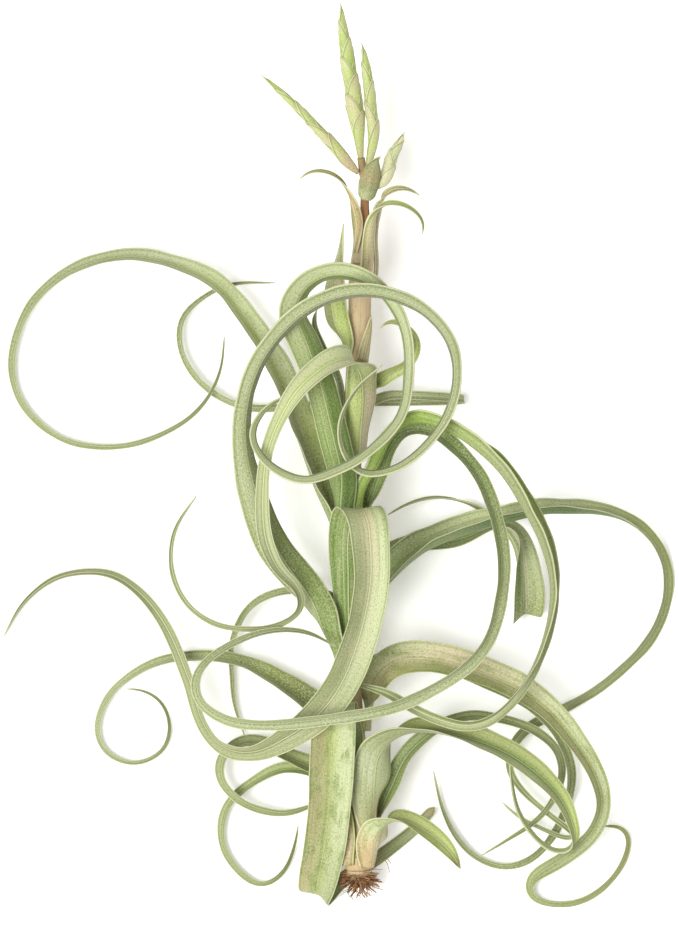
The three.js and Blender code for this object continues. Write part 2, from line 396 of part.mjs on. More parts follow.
    [93.8, -82.4, 9.6, 15, [0.2, -1, 0.1]], [93, -79.6, 6, 10.5, [0.1, -0.6, -1]],
    [92.4, -70, 4.4, 6.4, [0.1, 0, -1]], [91.6, -56, 3.6, 4.8, [0.3, 0, -1]],
    [87, -41.5, 3.6, 4.2, [0.5, 0.2, -1]], [72.5, -28.5, 5.4, 3.8, [0.3, 0.8, -0.9]],
    [60.5, -22.8, 7, 3.4, [0.1, 1, 0]], [47, -21.5, 8.4, 2.8, [0, 1, 0.6]], [35, -24.5, 9.4, 2, 40],
    [24.5, -30, 10, 0.9, 40]] },
  bract_leaf_left: { finish: "olive", stations: [
    clasp(101, 324, 3), clasp(107, 324, 4.2, 0.5), [8.9, 116.5, 34.6, 6.1, [0.25, 0.2, -1]],
    [7.4, 124, 35.6, 5, [0.5, 0.4, -0.8]], [4.4, 132.4, 36.4, 3.6, [0.6, 0.9, 0]],
    [0.5, 137.6, 36.8, 2.8, [0.3, 0.9, 0.5]], [-4.8, 140.8, 37, 2.5, 30], [-10.5, 141.8, 37, 2.3, 36],
    [-15.8, 140.8, 36.6, 1.9, 40], [-20, 137.6, 36, 0.9, 40]] },
  bract_leaf_right_low: { finish: "bract", stations: [
    clasp(88, 26, 7), clasp(97, 28, 7.2, 0.5), [15, 107.5, 35, 6.5, [-0.2, 0.1, -1]],
    [16.2, 115.5, 35.6, 6, [-0.4, 0.3, -0.9]], [18.2, 121.2, 36.2, 5, [-0.5, 0.8, -0.3]],
    [21.4, 124.6, 36.8, 4, [-0.3, 0.9, 0.4]], [26, 125.8, 37, 3.4, -30], [31.5, 125, 37, 3, -36],
    [37, 122.2, 36.6, 2.6, -40], [41, 117.8, 36.2, 2.3, -42], [42.6, 114, 35.8, 1.8, -42],
    [41.6, 110.4, 35.4, 0.9, -42]] },
  bract_leaf_right_high: { finish: "sage", stations: [
    clasp(86, 93, 4.6), clasp(97, 92, 5.4, 0.5), clasp(108, 90, 5, 0.8),
    [18.9, 116.5, 29.8, 5.4, [-0.9, 0.1, -0.6]], [19.8, 122.6, 30.8, 6, [-0.5, 0.3, -0.9]],
    [21.8, 128.8, 32, 5, [-0.4, 0.8, 0.3]], [25.6, 132, 33, 3.8, -20], [30.5, 133.3, 33, 3, -30],
    [35.5, 132.6, 32.4, 2.3, -36], [40.2, 129.8, 31.4, 0.9, -40]] },
  bract_front_dark: { finish: "green", fold: [0.4, 0.4], stations: [
    clasp(125.6, 14, 6, 0, 0.4), clasp(130, 17, 9, 0.4, 0.4), [15.2, 137.5, 36.5, 10.4, [-0.15, 0, -1]],
    [18, 145, 38.5, 7, [-0.2, 0, -1]], [21, 150, 39, 1, [-0.3, 0, -1]]] },
};

// ---------------------------------------------------------------- stem, spikes and roots

// A round piece along a line, rings of the given radii at its points.
function tube(points, radii, sides) {
  const { curve, places } = smoothLine(points);
  const spans = points.length - 1;
  const rings = places.map((t) => {
    const tangent = curve.getTangent(t);
    const side = new THREE.Vector3().crossVectors(tangent, UP).normalize();
    const face = new THREE.Vector3().crossVectors(side, tangent);
    const span = Math.min(Math.floor(t * spans), spans - 1);
    const radius = THREE.MathUtils.lerp(radii[span], radii[span + 1], t * spans - span);
    return Array.from({ length: sides }, (_, k) => {
      const angle = k / sides * 2 * Math.PI;
      return curve.getPoint(t)
        .addScaledVector(side, -Math.cos(angle) * radius)
        .addScaledVector(face, Math.sin(angle) * radius);
    });
  });
  const half = sides / 2;
  const cap = Array.from({ length: half - 1 }, (_, k) => [k, k + 1, sides - 2 - k, sides - 1 - k]);
  return loft(rings, cap);
}

function stem() {
  return tube(STEM.map(stemPoint), STEM.map((ring) => ring[3]), STEM_SIDES);
}

// A flower spike: a thin axis with folded, pointed bracts in two ranks, each wrapping the next.
const SPIKES = {
  spike_main: { count: 11, length: 23, depth: 4.8, core: 1.7,
    axis: [[10.6, 149.2, 31.3], [6.6, 172, 33], [3.6, 199.5, 35], [0.9, 221, 36.5]] },
  spike_right: { count: 8, length: 20, depth: 3.7, core: 1.1,
    axis: [[15.1, 144, 32], [16.3, 160, 35.6], [15.2, 182, 39], [10.8, 203, 41]] },
  spike_left: { count: 9, length: 20, depth: 3.1, core: 1.1,
    axis: [[9, 141.5, 33], [3, 149.5, 36.5], [-13, 165, 37], [-37.5, 188, 38]] },
  spike_pale: { count: 6, length: 15, depth: 3.8, core: 1,
    axis: [[16.4, 134, 29.7], [22.2, 138.5, 30.5], [27, 147, 31.3], [32.6, 157, 32]] },
};

function spike({ axis, count, length, depth, core }) {
  const points = axis.map((p) => new THREE.Vector3(...p));
  const curve = new THREE.CatmullRomCurve3(points, false, "centripetal");
  const radii = points.map((_, i) => core * (1 - CORE_TAPER * i / (points.length - 1)));
  const pieces = [tube(points, radii, CORE_SIDES)];
  for (let i = 0; i < count; i += 1) {
    const share = i / (count - 1);
    const t = THREE.MathUtils.lerp(BRACT_FIRST, BRACT_LAST, share);
    const size = 1 - BRACT_TAPER * share;
    const tangent = curve.getTangent(t);
    const rank = i % 2 ? 1 : -1;
    const side = new THREE.Vector3().crossVectors(tangent, UP).normalize().multiplyScalar(rank);
    const inward = side.clone().negate().toArray();
    const stations = BRACT_PROFILE.map(([along, across, width]) => {
      const p = curve.getPoint(t).addScaledVector(tangent, along * length * size);
      p.addScaledVector(side, across * depth * size);
      return [p.x, p.y, p.z, width * depth * size, inward];
    });
    pieces.push(ribbon(stations, { fold: BRACT_FOLD, thick: BRACT_THICK }));
  }
  return fuse(pieces);
}

// A repeatable stream of numbers from 0 to 1.
function seeded(seed) {
  let state = seed;
  return () => {
    state = (state * 1664525 + 1013904223) % 4294967296;
    return state / 4294967296;
  };
}

// Short wiry roots all round a rounded plug at the stem's foot.
function roots() {
  const draw = seeded(ROOT_SEED);
  const [x, y, z, radius] = STEM[0];
  const down = stemLine().curve.getTangent(0).negate();
  const side = new THREE.Vector3().crossVectors(down, UP).normalize();
  const face = new THREE.Vector3().crossVectors(side, down);
  const below = (depth) => new THREE.Vector3(x, y, z).addScaledVector(down, SEAT_GAP + depth);
  const pieces = [tube(PLUG_DEPTHS.map(below), PLUG_RADII.map((share) => share * radius), PLUG_SIDES)];
  for (let i = 0; i < ROOT_COUNT; i += 1) {
    const around = i * GOLDEN_ANGLE;
    const tilt = Math.acos(1 - ROOT_FAN * (i + 0.5) / ROOT_COUNT);
    const out = down.clone().multiplyScalar(Math.cos(tilt))
      .addScaledVector(side, Math.sin(tilt) * Math.cos(around))
      .addScaledVector(face, Math.sin(tilt) * Math.sin(around));
    const length = THREE.MathUtils.lerp(ROOT_SHORTEST, ROOT_LONGEST, draw());
    const start = below(ROOT_DEPTH).addScaledVector(out, radius * ROOT_REACH);
    const bend = start.clone().addScaledVector(out, length / 2);
    const end = start.clone().addScaledVector(out, length)
      .addScaledVector(side, ROOT_STRAY * (draw() - 0.5))
      .addScaledVector(face, ROOT_STRAY * (draw() - 0.5));
    const radii = [ROOT_RADIUS, ROOT_RADIUS, ROOT_RADIUS * ROOT_TIP];
    pieces.push(tube([start, bend, end], radii, ROOT_SIDES));
  }
  return fuse(pieces);
}

// ---------------------------------------------------------------- the plant

const plant = new THREE.Group();
plant.position.set(-MIDDLE_X, -MIDDLE_Y, 0);

function add(name, finish, geometry) {
  const { color, roughness } = FINISH[finish];
  const material = new THREE.MeshStandardMaterial({ color, roughness, metalness: 0 });
  const mesh = new THREE.Mesh(restOnFloor(geometry), material);
  mesh.name = name;
  plant.add(mesh);
}

add("stem", "stem", stem());
for (const [name, { finish, stations, fold, thick }] of Object.entries(LEAVES)) {
  add(name, finish, ribbon(stations, { fold, thick }));
}
for (const [name, shape] of Object.entries(SPIKES)) add(name, "bract", spike(shape));
add("root_tuft", "root", roots());

plant.updateMatrixWorld(true);
export default plant;
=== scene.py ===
"""Looks of a curly-leaved air plant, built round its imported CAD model.

Every leaf, bract, spike, stem and root follows the same route as its CAD solid, with a finer section,
thin margins, and colours that change along and across it. Routes are in millimetres and pieces in metres.
"""
import logging
import math
from dataclasses import dataclass, field, replace
from enum import Enum
from typing import Iterable, Sequence, Union

import bpy
import numpy as np
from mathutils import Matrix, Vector


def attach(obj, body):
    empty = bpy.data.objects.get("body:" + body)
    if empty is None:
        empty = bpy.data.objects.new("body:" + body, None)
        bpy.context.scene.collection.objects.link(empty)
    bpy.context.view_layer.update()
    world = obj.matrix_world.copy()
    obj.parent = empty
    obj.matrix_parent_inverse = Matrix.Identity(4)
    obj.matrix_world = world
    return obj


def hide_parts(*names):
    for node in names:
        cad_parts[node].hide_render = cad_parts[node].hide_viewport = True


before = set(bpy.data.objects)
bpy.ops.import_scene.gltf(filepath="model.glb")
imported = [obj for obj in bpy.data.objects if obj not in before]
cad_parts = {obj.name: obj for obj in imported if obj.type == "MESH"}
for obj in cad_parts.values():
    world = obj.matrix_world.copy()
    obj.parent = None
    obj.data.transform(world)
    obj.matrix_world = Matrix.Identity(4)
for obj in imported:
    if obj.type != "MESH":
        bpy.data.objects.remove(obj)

LOG = logging.getLogger("air_plant")
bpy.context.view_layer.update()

MM = 0.001
BODY = "root"
MIDDLE = (-0.21, -0.08, 0.0)  # middle of the plant's box, in the frame of the routes
UP = np.array([0.0, 0.0, 1.0])

BLADE_THICK = 1.1
TIP_THICK = 0.7
SEAT_GAP = 0.35
CLASP_FOLD = 0.34
OWN_STEP = 37.0  # between the patterns of two pieces
PATTERN_GAP = 4  # between the patterns of a blade's two faces, in half widths
SMALLEST = 1e-12  # length that a direction is divided by
KINK_TAIL = 3  # how far a kink is evened out, in its own reach
DEPTH = 0.78  # of the plant's colours, which are named as they look under bright light

Array = np.ndarray
Point = tuple[float, float, float]
Colour = tuple[float, float, float]
Station = tuple
Link = Union[float, Sequence[float], bpy.types.NodeSocket, "Amount"]


# ---------------------------------------------------------------- colours and slots

class Slot(Enum):
    """The record's material slots."""

    STEM = "stem"
    SAGE = "sage"
    GREEN = "green"
    CREAM = "cream"
    MOTTLED = "mottled"
    TAN = "tan"
    OLIVE = "olive"
    BRIGHT = "bright"
    BRACT = "bract"
    ROOT = "root"


class Tint(Enum):
    """Named colours of the plant, as red, green and blue from 0 to 255; some rows also use them for
    painted light, shade and highlights.
    """

    FROST = (212, 217, 186)
    SILVER_SAGE = (191, 195, 155)
    SAGE = (169, 175, 127)
    BLUE_SAGE = (147, 162, 113)
    LEAF_GREEN = (141, 159, 86)
    FRESH_GREEN = (122, 148, 68)
    DEEP_GREEN = (74, 97, 34)
    DARK_OLIVE = (100, 109, 50)
    OLIVE = (150, 158, 84)
    LIME = (160, 187, 82)
    PALE_LIME = (198, 211, 128)
    CREAM_GREEN = (206, 213, 164)
    CREAM = (226, 222, 182)
    PINK_CREAM = (216, 200, 166)
    TAN = (194, 187, 134)
    PEACH = (222, 192, 146)
    STEM_TAN = (216, 194, 150)
    STEM_PINK = (212, 188, 152)
    SHADE_SAGE = (122, 130, 92)
    MOSS_SAGE = (158, 163, 114)
    YELLOW_SAGE = (178, 185, 118)
    FERN = (102, 128, 62)
    HAZEL = (172, 155, 106)
    ROSE_TAN = (212, 184, 146)
    UMBER = (180, 132, 92)
    BROWN = (128, 92, 52)
    DARK_BROWN = (70, 46, 28)
    ROOT_BROWN = (158, 104, 64)

    @property
    def linear(self) -> Colour:
        """The colour as linear light, at the depth that it has under bright light."""
        return tuple(linear_light(part / 255) * DEPTH for part in self.value)


def linear_light(part: float) -> float:
    """Turns one display part of a colour into linear light, by the sRGB curve.

    Args:
        part: The display value from 0 to 1.

    Returns:
        The linear value from 0 to 1.
    """
    if part <= 0.04045:
        return part / 12.92
    return ((part + 0.055) / 1.055) ** 2.4


# ---------------------------------------------------------------- routes

class Route:
    """A smooth line through points, over 0 to 1, evenly from point to point."""

    DELTA = 1e-4
    SHORTEST = 1e-4
    WEIGHT = 0.25
    FINE_STEPS = 40
    FEWEST = 4

    def __init__(self, points: Iterable[Sequence[float]], centripetal: bool = True) -> None:
        """Keeps the points, with one more beyond each end.

        Args:
            points: The points that the line passes through.
            centripetal: Whether spans are weighed by their length, which keeps loops out.
        """
        inner = np.array([tuple(p) for p in points], float)
        first = 2 * inner[0] - inner[1]
        last = 2 * inner[-1] - inner[-2]
        self.points = np.vstack([first, inner, last])
        self.spans = len(inner) - 1
        self.centripetal = centripetal

    def at(self, shares: Array) -> Array:
        """Finds points of the line.

        Args:
            shares: Places along it, from 0 to 1.

        Returns:
            One row for each place.
        """
        place = np.clip(np.asarray(shares, float), 0.0, 1.0) * self.spans
        span = np.minimum(place.astype(int), self.spans - 1)
        w = (place - span)[:, None]
        p0, p1, p2, p3 = (self.points[span + k] for k in range(4))
        if self.centripetal:
            slope1, slope2 = self._weighed_slopes(p0, p1, p2, p3)
        else:
            slope1, slope2 = 0.5 * (p2 - p0), 0.5 * (p3 - p1)
        square = -3 * p1 + 3 * p2 - 2 * slope1 - slope2
        cube = 2 * p1 - 2 * p2 + slope1 + slope2
        return p1 + slope1 * w + square * w ** 2 + cube * w ** 3

    @staticmethod
    def _weighed_slopes(p0: Array, p1: Array, p2: Array, p3: Array) -> tuple[Array, Array]:
        """Finds the slopes at both ends of each span.

        Args:
            p0: The points before the spans.
            p1: Where the spans start.
            p2: Where the spans end.
            p3: The points after the spans.

        Returns:
            The slopes at the start and at the end.
        """
        steps = [np.sum((b - a) ** 2, axis=1, keepdims=True) ** Route.WEIGHT for a, b in
                 ((p0, p1), (p1, p2), (p2, p3))]
        d1 = np.where(steps[1] < Route.SHORTEST, 1.0, steps[1])
        d0 = np.where(steps[0] < Route.SHORTEST, d1, steps[0])
        d2 = np.where(steps[2] < Route.SHORTEST, d1, steps[2])
        slope1 = (p1 - p0) / d0 - (p2 - p0) / (d0 + d1) + (p2 - p1) / d1
        slope2 = (p2 - p1) / d1 - (p3 - p1) / (d1 + d2) + (p3 - p2) / d2
        return slope1 * d1, slope2 * d1

    def along(self, shares: Array) -> Array:
        """The direction of the line at each share, as unit rows."""
        shares = np.asarray(shares, float)
        return unit(self.at(shares + self.DELTA) - self.at(shares - self.DELTA))

    def steps(self, spacing: float) -> tuple[Array, Array]:
        """Spreads places evenly over the line's length.

        Args:
            spacing: The distance between two places.

        Returns:
            The shares of the places, and their distance from the start.
        """
        fine = np.linspace(0.0, 1.0, self.FINE_STEPS * self.spans + 1)
        gaps = np.linalg.norm(np.diff(self.at(fine), axis=0), axis=1)
        lengths = np.concatenate([[0.0], np.cumsum(gaps)])
        count = max(self.FEWEST, int(round(lengths[-1] / spacing)) + 1)
        reached = np.linspace(0.0, lengths[-1], count)
        return np.interp(reached, lengths, fine), reached


def unit(rows: Array) -> Array:
    """Each row of an array, at length 1."""
    return rows / np.maximum(np.linalg.norm(rows, axis=-1, keepdims=True), SMALLEST)


def evened(rows: Array, reach: float) -> Array:
    """Takes the kinks out of a line of values and keeps its bends and both of its ends.

    Args:
        rows: One row for each ring.
        reach: How far a kink is spread, counted in rings.

    Returns:
        The evened rows.
    """
    wide = min(int(KINK_TAIL * reach) + 1, len(rows) - 1)
    weights = np.exp(-0.5 * (np.arange(-wide, wide + 1) / reach) ** 2)
    weights = weights / weights.sum()

    def softened(line: Array) -> Array:
        """Spreads every value over its neighbours.

        Args:
            line: One row for each ring.

        Returns:
            The softened rows.
        """
        before = 2 * line[0] - line[wide:0:-1]
        after = 2 * line[-1] - line[-2:-wide - 2:-1]
        padded = np.vstack([before, line, after])
        return np.stack([np.convolve(padded[:, c], weights, "valid")
                         for c in range(line.shape[1])], axis=-1)

    once = softened(rows)
    return 2 * once - softened(once)


def sides_of(along: Array) -> tuple[Array, Array]:
    """Finds the level direction to the right of a way along, and the one above it.

    Args:
        along: Unit rows, the way along.

    Returns:
        The directions to the side and upwards, as unit rows.
    """
    side = unit(np.cross(along, UP))
    return side, np.cross(side, along)


STEM_RINGS: tuple[tuple[float, float, float, float], ...] = (
    (9.8, -208, 14.3, 6.5), (9.6, -201, 14.8, 8), (10, -188, 15.5, 7.4), (10.5, -172, 16.5, 6.2),
    (8.5, -147, 18.5, 5.4), (6.5, -122, 20, 5.2), (5.5, -72, 23, 5.2), (5.5, -22, 25, 5.2),
    (8, 27, 26, 5.4), (9.8, 55, 26.8, 5.8), (10.6, 87, 28, 5.9), (11.4, 98, 28.6, 5.4),
    (12.1, 107, 29, 4.2), (12.7, 115, 29.4, 2.9), (12.9, 124, 29.8, 2.3), (12.6, 136, 30.3, 2.2),
    (11, 148.6, 31, 2))


def stem_at(y: float) -> tuple[float, float, float]:
    """Finds the stem at a place along it.

    Args:
        y: Where along it, in millimetres.

    Returns:
        The x and z of its middle, and its radius.
    """
    table = np.array(STEM_RINGS)
    x, z, radius = (float(np.interp(y, table[:, 1], table[:, k])) for k in (0, 2, 3))
    return x, z, radius


def clasp(y: float, azimuth: float, width: float, lift: float = 0.0,
          fold: float = CLASP_FOLD) -> Station:
    """Makes a station of a leaf that clasps the stem.

    Args:
        y: Where along the stem, in millimetres.
        azimuth: Which side of it: 0 is above, 90 right, 180 below and 270 left.
        width: The leaf's width there.
        lift: How far its keel stands off.
        fold: The fold's depth as a share of the width.

    Returns:
        The station.
    """
    x, z, radius = stem_at(y)
    angle = math.radians(azimuth)
    slope = math.atan(2 * fold)
    keel = (radius + SEAT_GAP + BLADE_THICK / 2) / math.cos(slope) + lift
    reach = keel - width * fold / 2
    out_x, out_z = math.sin(angle), math.cos(angle)
    return (x + out_x * reach, y, z + out_z * reach, width, (-out_x, 0.0, -out_z))


# ---------------------------------------------------------------- meshes

def margins_of(across: Array, half: Array) -> Array:
    """Finds how far the places across a blade are from its margins and from its keel.

    Args:
        across: Places from -1 to 1, one row for each ring.
        half: Half the blade's width at each ring, in millimetres.

    Returns:
        For the upper and then the lower face: the way to the margin and the way to the keel.
    """
    away = np.abs(across)
    face = np.stack([(1 - away) * half[:, None], away * half[:, None], np.zeros(away.shape)], axis=-1)
    return np.concatenate([face, face[:, ::-1]], axis=1)


def lay(centre: Array, side: Array, above: Array, out: Array, up: Array) -> Array:
    """Lays one line of a section at every ring.

    Args:
        centre: The middle of each ring.
        side: The direction to its right.
        above: The direction upwards from it.
        out: How far to the right each point lies.
        up: How far up it lies.

    Returns:
        The points, as ring, place in ring, axis.
    """
    return centre[:, None] + side[:, None] * out[..., None] + above[:, None] * up[..., None]


def both_faces(upper: Array, lower: Array) -> Array:
    """Joins the rows of an upper face and of a lower one, which runs back under it."""
    return np.concatenate([upper, lower[:, ::-1]], axis=1)


def patterned(across: Array, along: Array, seed: int) -> Array:
    """Finds where points lie on the flat skin, which the pattern follows.

    Args:
        across: Where they lie across it.
        along: Where each ring lies along it.
        seed: The piece's own number.

    Returns:
        The place across and along, and a number of its own for the piece.
    """
    rows = np.broadcast_to(along[:, None], across.shape)
    return np.stack([across, rows, np.full(across.shape, OWN_STEP * seed)], axis=-1)


def blended(tints: Sequence[Tint], stops: Sequence[float], places: Array) -> Array:
    """Blends a row of tints along a piece.

    Args:
        tints: The tints.
        stops: Where each of them is pure.
        places: Where the colour is wanted.

    Returns:
        One linear colour for each place.
    """
    table = np.array([tint.linear for tint in tints])
    return np.stack([np.interp(places, stops, table[:, c]) for c in range(3)], axis=-1)


def added(name: str, data: bpy.types.ID) -> bpy.types.Object:
    """Puts a new object into the scene.

    Args:
        name: Its name.
        data: Its mesh, lamp or camera.

    Returns:
        The object.
    """
    thing = bpy.data.objects.new(name, data)
    bpy.context.scene.collection.objects.link(thing)
    return thing


@dataclass
class Skin:
    """Collects the rings of one piece and turns them into one mesh."""

    points: list[Array] = field(default_factory=list)
    faces: list[Array] = field(default_factory=list)
    tints: list[Array] = field(default_factory=list)
    places: list[Array] = field(default_factory=list)
    margins: list[Array] = field(default_factory=list)
    count: int = 0

    def add(self, rings: Array, tints: Array, places: Array, margins: Array) -> None:
        """Skins a row of rings and closes both of its ends.

        Args:
            rings: Points in millimetres, as ring, place in ring, axis.
            tints: A linear colour for each point.
            places: Where each point is on the flat skin: across, along and a number of its own.
            margins: How far each point is from the nearest margin and from the keel, in millimetres.
        """
        total, around, _ = rings.shape
        start = (np.arange(total - 1) * around)[:, None]
        here = np.arange(around)[None, :]
        after = (np.arange(around) + 1)[None, :] % around
        quads = np.stack([start + here, start + after, start + around + after,
                          start + around + here], axis=-1).reshape(-1, 4)
        k = np.arange(around // 2 - 1)
        cap = np.stack([k, k + 1, around - 2 - k, around - 1 - k], axis=-1)
        ends = np.vstack([cap[:, ::-1], cap + (total - 1) * around])
        self.faces.append(np.vstack([quads, ends]) + self.count)
        self.points.append(rings.reshape(-1, 3))
        self.tints.append(tints.reshape(-1, 3))
        self.places.append(places.reshape(-1, 3))
        self.margins.append(margins.reshape(-1, 3))
        self.count += total * around

    def piece(self, name: str) -> bpy.types.Object:
        """Makes the piece, resting on the surface, in metres and in the CAD's frame.

        Args:
            name: The piece's name.

        Returns:
            The new object, in the scene.
        """
        points = (np.vstack(self.points) - np.array(MIDDLE)) * MM
        points[:, 2] = np.maximum(points[:, 2], 0.0)
        faces = np.vstack(self.faces)
        mesh = bpy.data.meshes.new(name)
        mesh.from_pydata(points.tolist(), [], faces.tolist())
        mesh.update()
        places = np.vstack(self.places)
        self._store(mesh, "tint", "FLOAT_COLOR", "color",
                    np.column_stack([np.vstack(self.tints), np.ones(self.count)]))
        self._store(mesh, "place", "FLOAT_VECTOR", "vector", places)
        self._store(mesh, "margin", "FLOAT_VECTOR", "vector", np.vstack(self.margins))
        corners = np.zeros(len(mesh.loops), np.int32)
        mesh.loops.foreach_get("vertex_index", corners)
        layer = mesh.uv_layers.new(name="UVMap")
        layer.data.foreach_set("uv", (places[corners][:, :2] * MM).astype(np.float32).ravel())
        mesh.shade_smooth()
        return added(name, mesh)

    @staticmethod
    def _store(mesh: bpy.types.Mesh, name: str, kind: str, key: str, values: Array) -> None:
        """Writes one value for each vertex into a named attribute."""
        attribute = mesh.attributes.new(name, kind, "POINT")
        attribute.data.foreach_set(key, values.astype(np.float32).ravel())


class Stream:
    """A repeatable stream of numbers from 0 to 1."""

    FACTOR, STEP, SIZE = 1664525, 1013904223, 4294967296

    def __init__(self, seed: int) -> None:
        """Starts the stream at a seed."""
        self.state = seed

    def draw(self) -> float:
        """The next number."""
        self.state = (self.state * self.FACTOR + self.STEP) % self.SIZE
        return self.state / self.SIZE

    def between(self, low: float, high: float) -> float:
        """The next number, from low to high."""
        return low + (high - low) * self.draw()


@dataclass(frozen=True)
class Shade:
    """The colours of a leaf at one station: both halves and the keel inside its fold, and its back.

    The back has one colour, or another one on its right half, which is the right half of the inside too.
    """

    at: float
    left: Tint
    # a keel tint darker than both halves, as at many leaf bases, is partly the channel's greener colour
    # and partly painted shade in the fold's hollow
    keel: Tint
    right: Tint
    back: Tint
    back_right: Tint | None = None


def shaded(*rows: str) -> tuple[Shade, ...]:
    """Reads the shades of a leaf.

    Args:
        rows: A place and the tints there: left, keel, right, back and, where it has one of its own,
            the back's right half. A single tint stands for all of them.

    Returns:
        The shades.
    """
    made = []
    for row in rows:
        place, *names = row.split()
        tints = [Tint[name] for name in names]
        made.append(Shade(float(place), *(tints * 4 if len(tints) == 1 else tints)))
    return tuple(made)


@dataclass(frozen=True)
class Blade:
    """A ribbon folded along its middle, with rounded keel and thin margins."""

    shades: tuple[Shade, ...]
    stations: tuple[Station, ...]
    fold: tuple[float, float] = (0.34, 0.2)
    thick: tuple[float, float] = (BLADE_THICK, TIP_THICK)
    keel_round: tuple[float, float] = (0.9, 0.28)
    base_spans: float = 3.0
    clasp_spans: float = 1.0
    free_spans: float = 1.5
    spacing: float = 1.7
    wave: float = 0.02
    edge_thick: float = 0.32
    tip_length: float = 3.0
    smooth: float = 4.5
    seed: int = 1

    ACROSS = np.array([-1, -0.95, -0.85, -0.68, -0.48, -0.28, -0.1, 0.0,
                       0.1, 0.28, 0.48, 0.68, 0.85, 0.95, 1])
    WAVE_LENGTHS = (31.0, 17.0)
    SHORT_WAVE = 0.6
    WAVE_TURN = 2.3
    WAVE_START = 25.0
    TIP_FLOOR = 0.02
    # where the next part's colour starts and how far on it is full, in half widths
    KEEL_BAND = (0.06, 0.36)
    BACK_BAND = (-0.12, 0.24)

    def grow(self, skin: Skin) -> None:
        """Adds the blade's rings to a skin.

        Args:
            skin: Where they go.
        """
        route = Route([s[:3] for s in self.stations])
        shares, reached = route.steps(self.spacing)
        spans = route.spans
        centre = self._eased(route.at(shares), shares * spans, reached)
        faces = self._eased(Route(self._faces(route), False).at(shares), shares * spans, reached)
        sizes = self._eased(self._sizes(spans).at(shares), shares * spans, reached)
        ways = unit(np.gradient(centre, axis=0))
        faces = unit(faces - ways * np.sum(faces * ways, axis=1, keepdims=True))
        sides = np.cross(ways, faces)
        width = sizes[:, 0]
        depth = width * sizes[:, 1]
        left = np.clip((reached[-1] - reached) / self.tip_length, self.TIP_FLOOR, 1.0)
        width = width * np.sqrt(left)
        half = (self.thick[0] + (self.thick[1] - self.thick[0]) * shares) / 2
        u = self.ACROSS[None, :]
        round_share = np.clip(shares * spans / self.base_spans, 0.0, 1.0)[:, None]
        k = self.keel_round[0] + (self.keel_round[1] - self.keel_round[0]) * round_share
        rise = (np.sqrt(u ** 2 + k ** 2) - k) / (np.sqrt(1 + k ** 2) - k)
        height = depth[:, None] * (rise - 0.5)
        height = height + self._waves(reached, width) * u ** 2 * np.sign(u)
        skin_half = half[:, None] * (self.edge_thick + (1 - self.edge_thick) * (1 - u ** 4))
        out = u * width[:, None] / 2
        upper = lay(centre, sides, faces, out, height + skin_half)
        lower = lay(centre, sides, faces, out, height - skin_half)
        relative = np.broadcast_to(u, height.shape)
        reach = float(width.max()) / 2
        across = both_faces(relative * reach, relative * reach + PATTERN_GAP * reach)
        skin.add(both_faces(upper, lower), both_faces(*self._colours(shares * spans)),
                 patterned(across, reached, self.seed), margins_of(relative, width / 2))

    def _sizes(self, spans: int) -> Route:
        """Makes the line of the widths and folds.

        Args:
            spans: How many spans the route has.

        Returns:
            The line, with the width and the fold as its first two parts.
        """
        return Route([(s[3], s[5] if len(s) > 5 else self._even_fold(i / spans), 0.0)
                      for i, s in enumerate(self.stations)], False)

    def _eased(self, rows: Array, places: Array, reached: Array) -> Array:
        """Evens out a line of values beyond the part that clasps the stem.

        Args:
            rows: One row for each ring.
            places: The rings' places, counted in stations.
            reached: Their distance from the start.

        Returns:
            The eased rows.
        """
        free = np.clip((places - self.clasp_spans) / self.free_spans, 0.0, 1.0)[:, None]
        return rows + (evened(rows, self.smooth / (reached[1] - reached[0])) - rows) * free

    def _even_fold(self, share: float) -> float:
        """The fold at a share of the way along, where a station gives none."""
        return self.fold[0] + (self.fold[1] - self.fold[0]) * share

    def _faces(self, route: Route) -> list[Array]:
        """Finds the way that the upper face looks at each station.

        Args:
            route: The line of the stations.

        Returns:
            One unit direction for each station.
        """
        ways = route.along(np.arange(route.spans + 1) / route.spans)
        side, above = sides_of(ways)
        faces = []
        for i, station in enumerate(self.stations):
            face = station[4]
            if isinstance(face, tuple):
                faces.append(unit(np.array(face, float)))
            else:
                angle = math.radians(face)
                faces.append(above[i] * math.cos(angle) + side[i] * math.sin(angle))
        return faces

    def _waves(self, reached: Array, width: Array) -> Array:
        """Finds the slight waves of the margins.

        Args:
            reached: The rings' distance from the start.
            width: The blade's width at each ring.

        Returns:
            How far the right margin rises at each ring, in millimetres, as one column.
        """
        long, short = self.WAVE_LENGTHS
        turn = 2 * math.pi * reached
        fine = self.SHORT_WAVE * np.sin(turn / short + self.WAVE_TURN * self.seed)
        wave = np.sin(turn / long + self.seed) + fine
        return (self.wave * width * wave * np.clip(reached / self.WAVE_START, 0.0, 1.0))[:, None]

    def _colours(self, places: Array) -> tuple[Array, Array]:
        """Blends the leaf's shades along and across it.

        Args:
            places: The rings' places, counted in stations.

        Returns:
            Linear colours for the face inside the fold and for the back.
        """
        stops = [shade.at for shade in self.shades]
        rows = ([shade.left for shade in self.shades], [shade.keel for shade in self.shades],
                [shade.right for shade in self.shades], [shade.back for shade in self.shades],
                [shade.back_right or shade.back for shade in self.shades])
        left, keel, right, back, far = (blended(tints, stops, places)[:, None] for tints in rows)
        u = self.ACROSS[None, :, None]
        start, band = self.KEEL_BAND
        to_left = np.clip((-u - start) / band, 0.0, 1.0)
        to_right = np.clip((u - start) / band, 0.0, 1.0)
        inner = left * to_left + right * to_right + keel * (1 - to_left - to_right)
        start, band = self.BACK_BAND
        to_far = np.clip((u - start) / band, 0.0, 1.0)
        return inner, back + (far - back) * to_far


RIDGES = ((5, 0.09, 1), (11, -0.05, 2))  # number, twist, turn for each seed


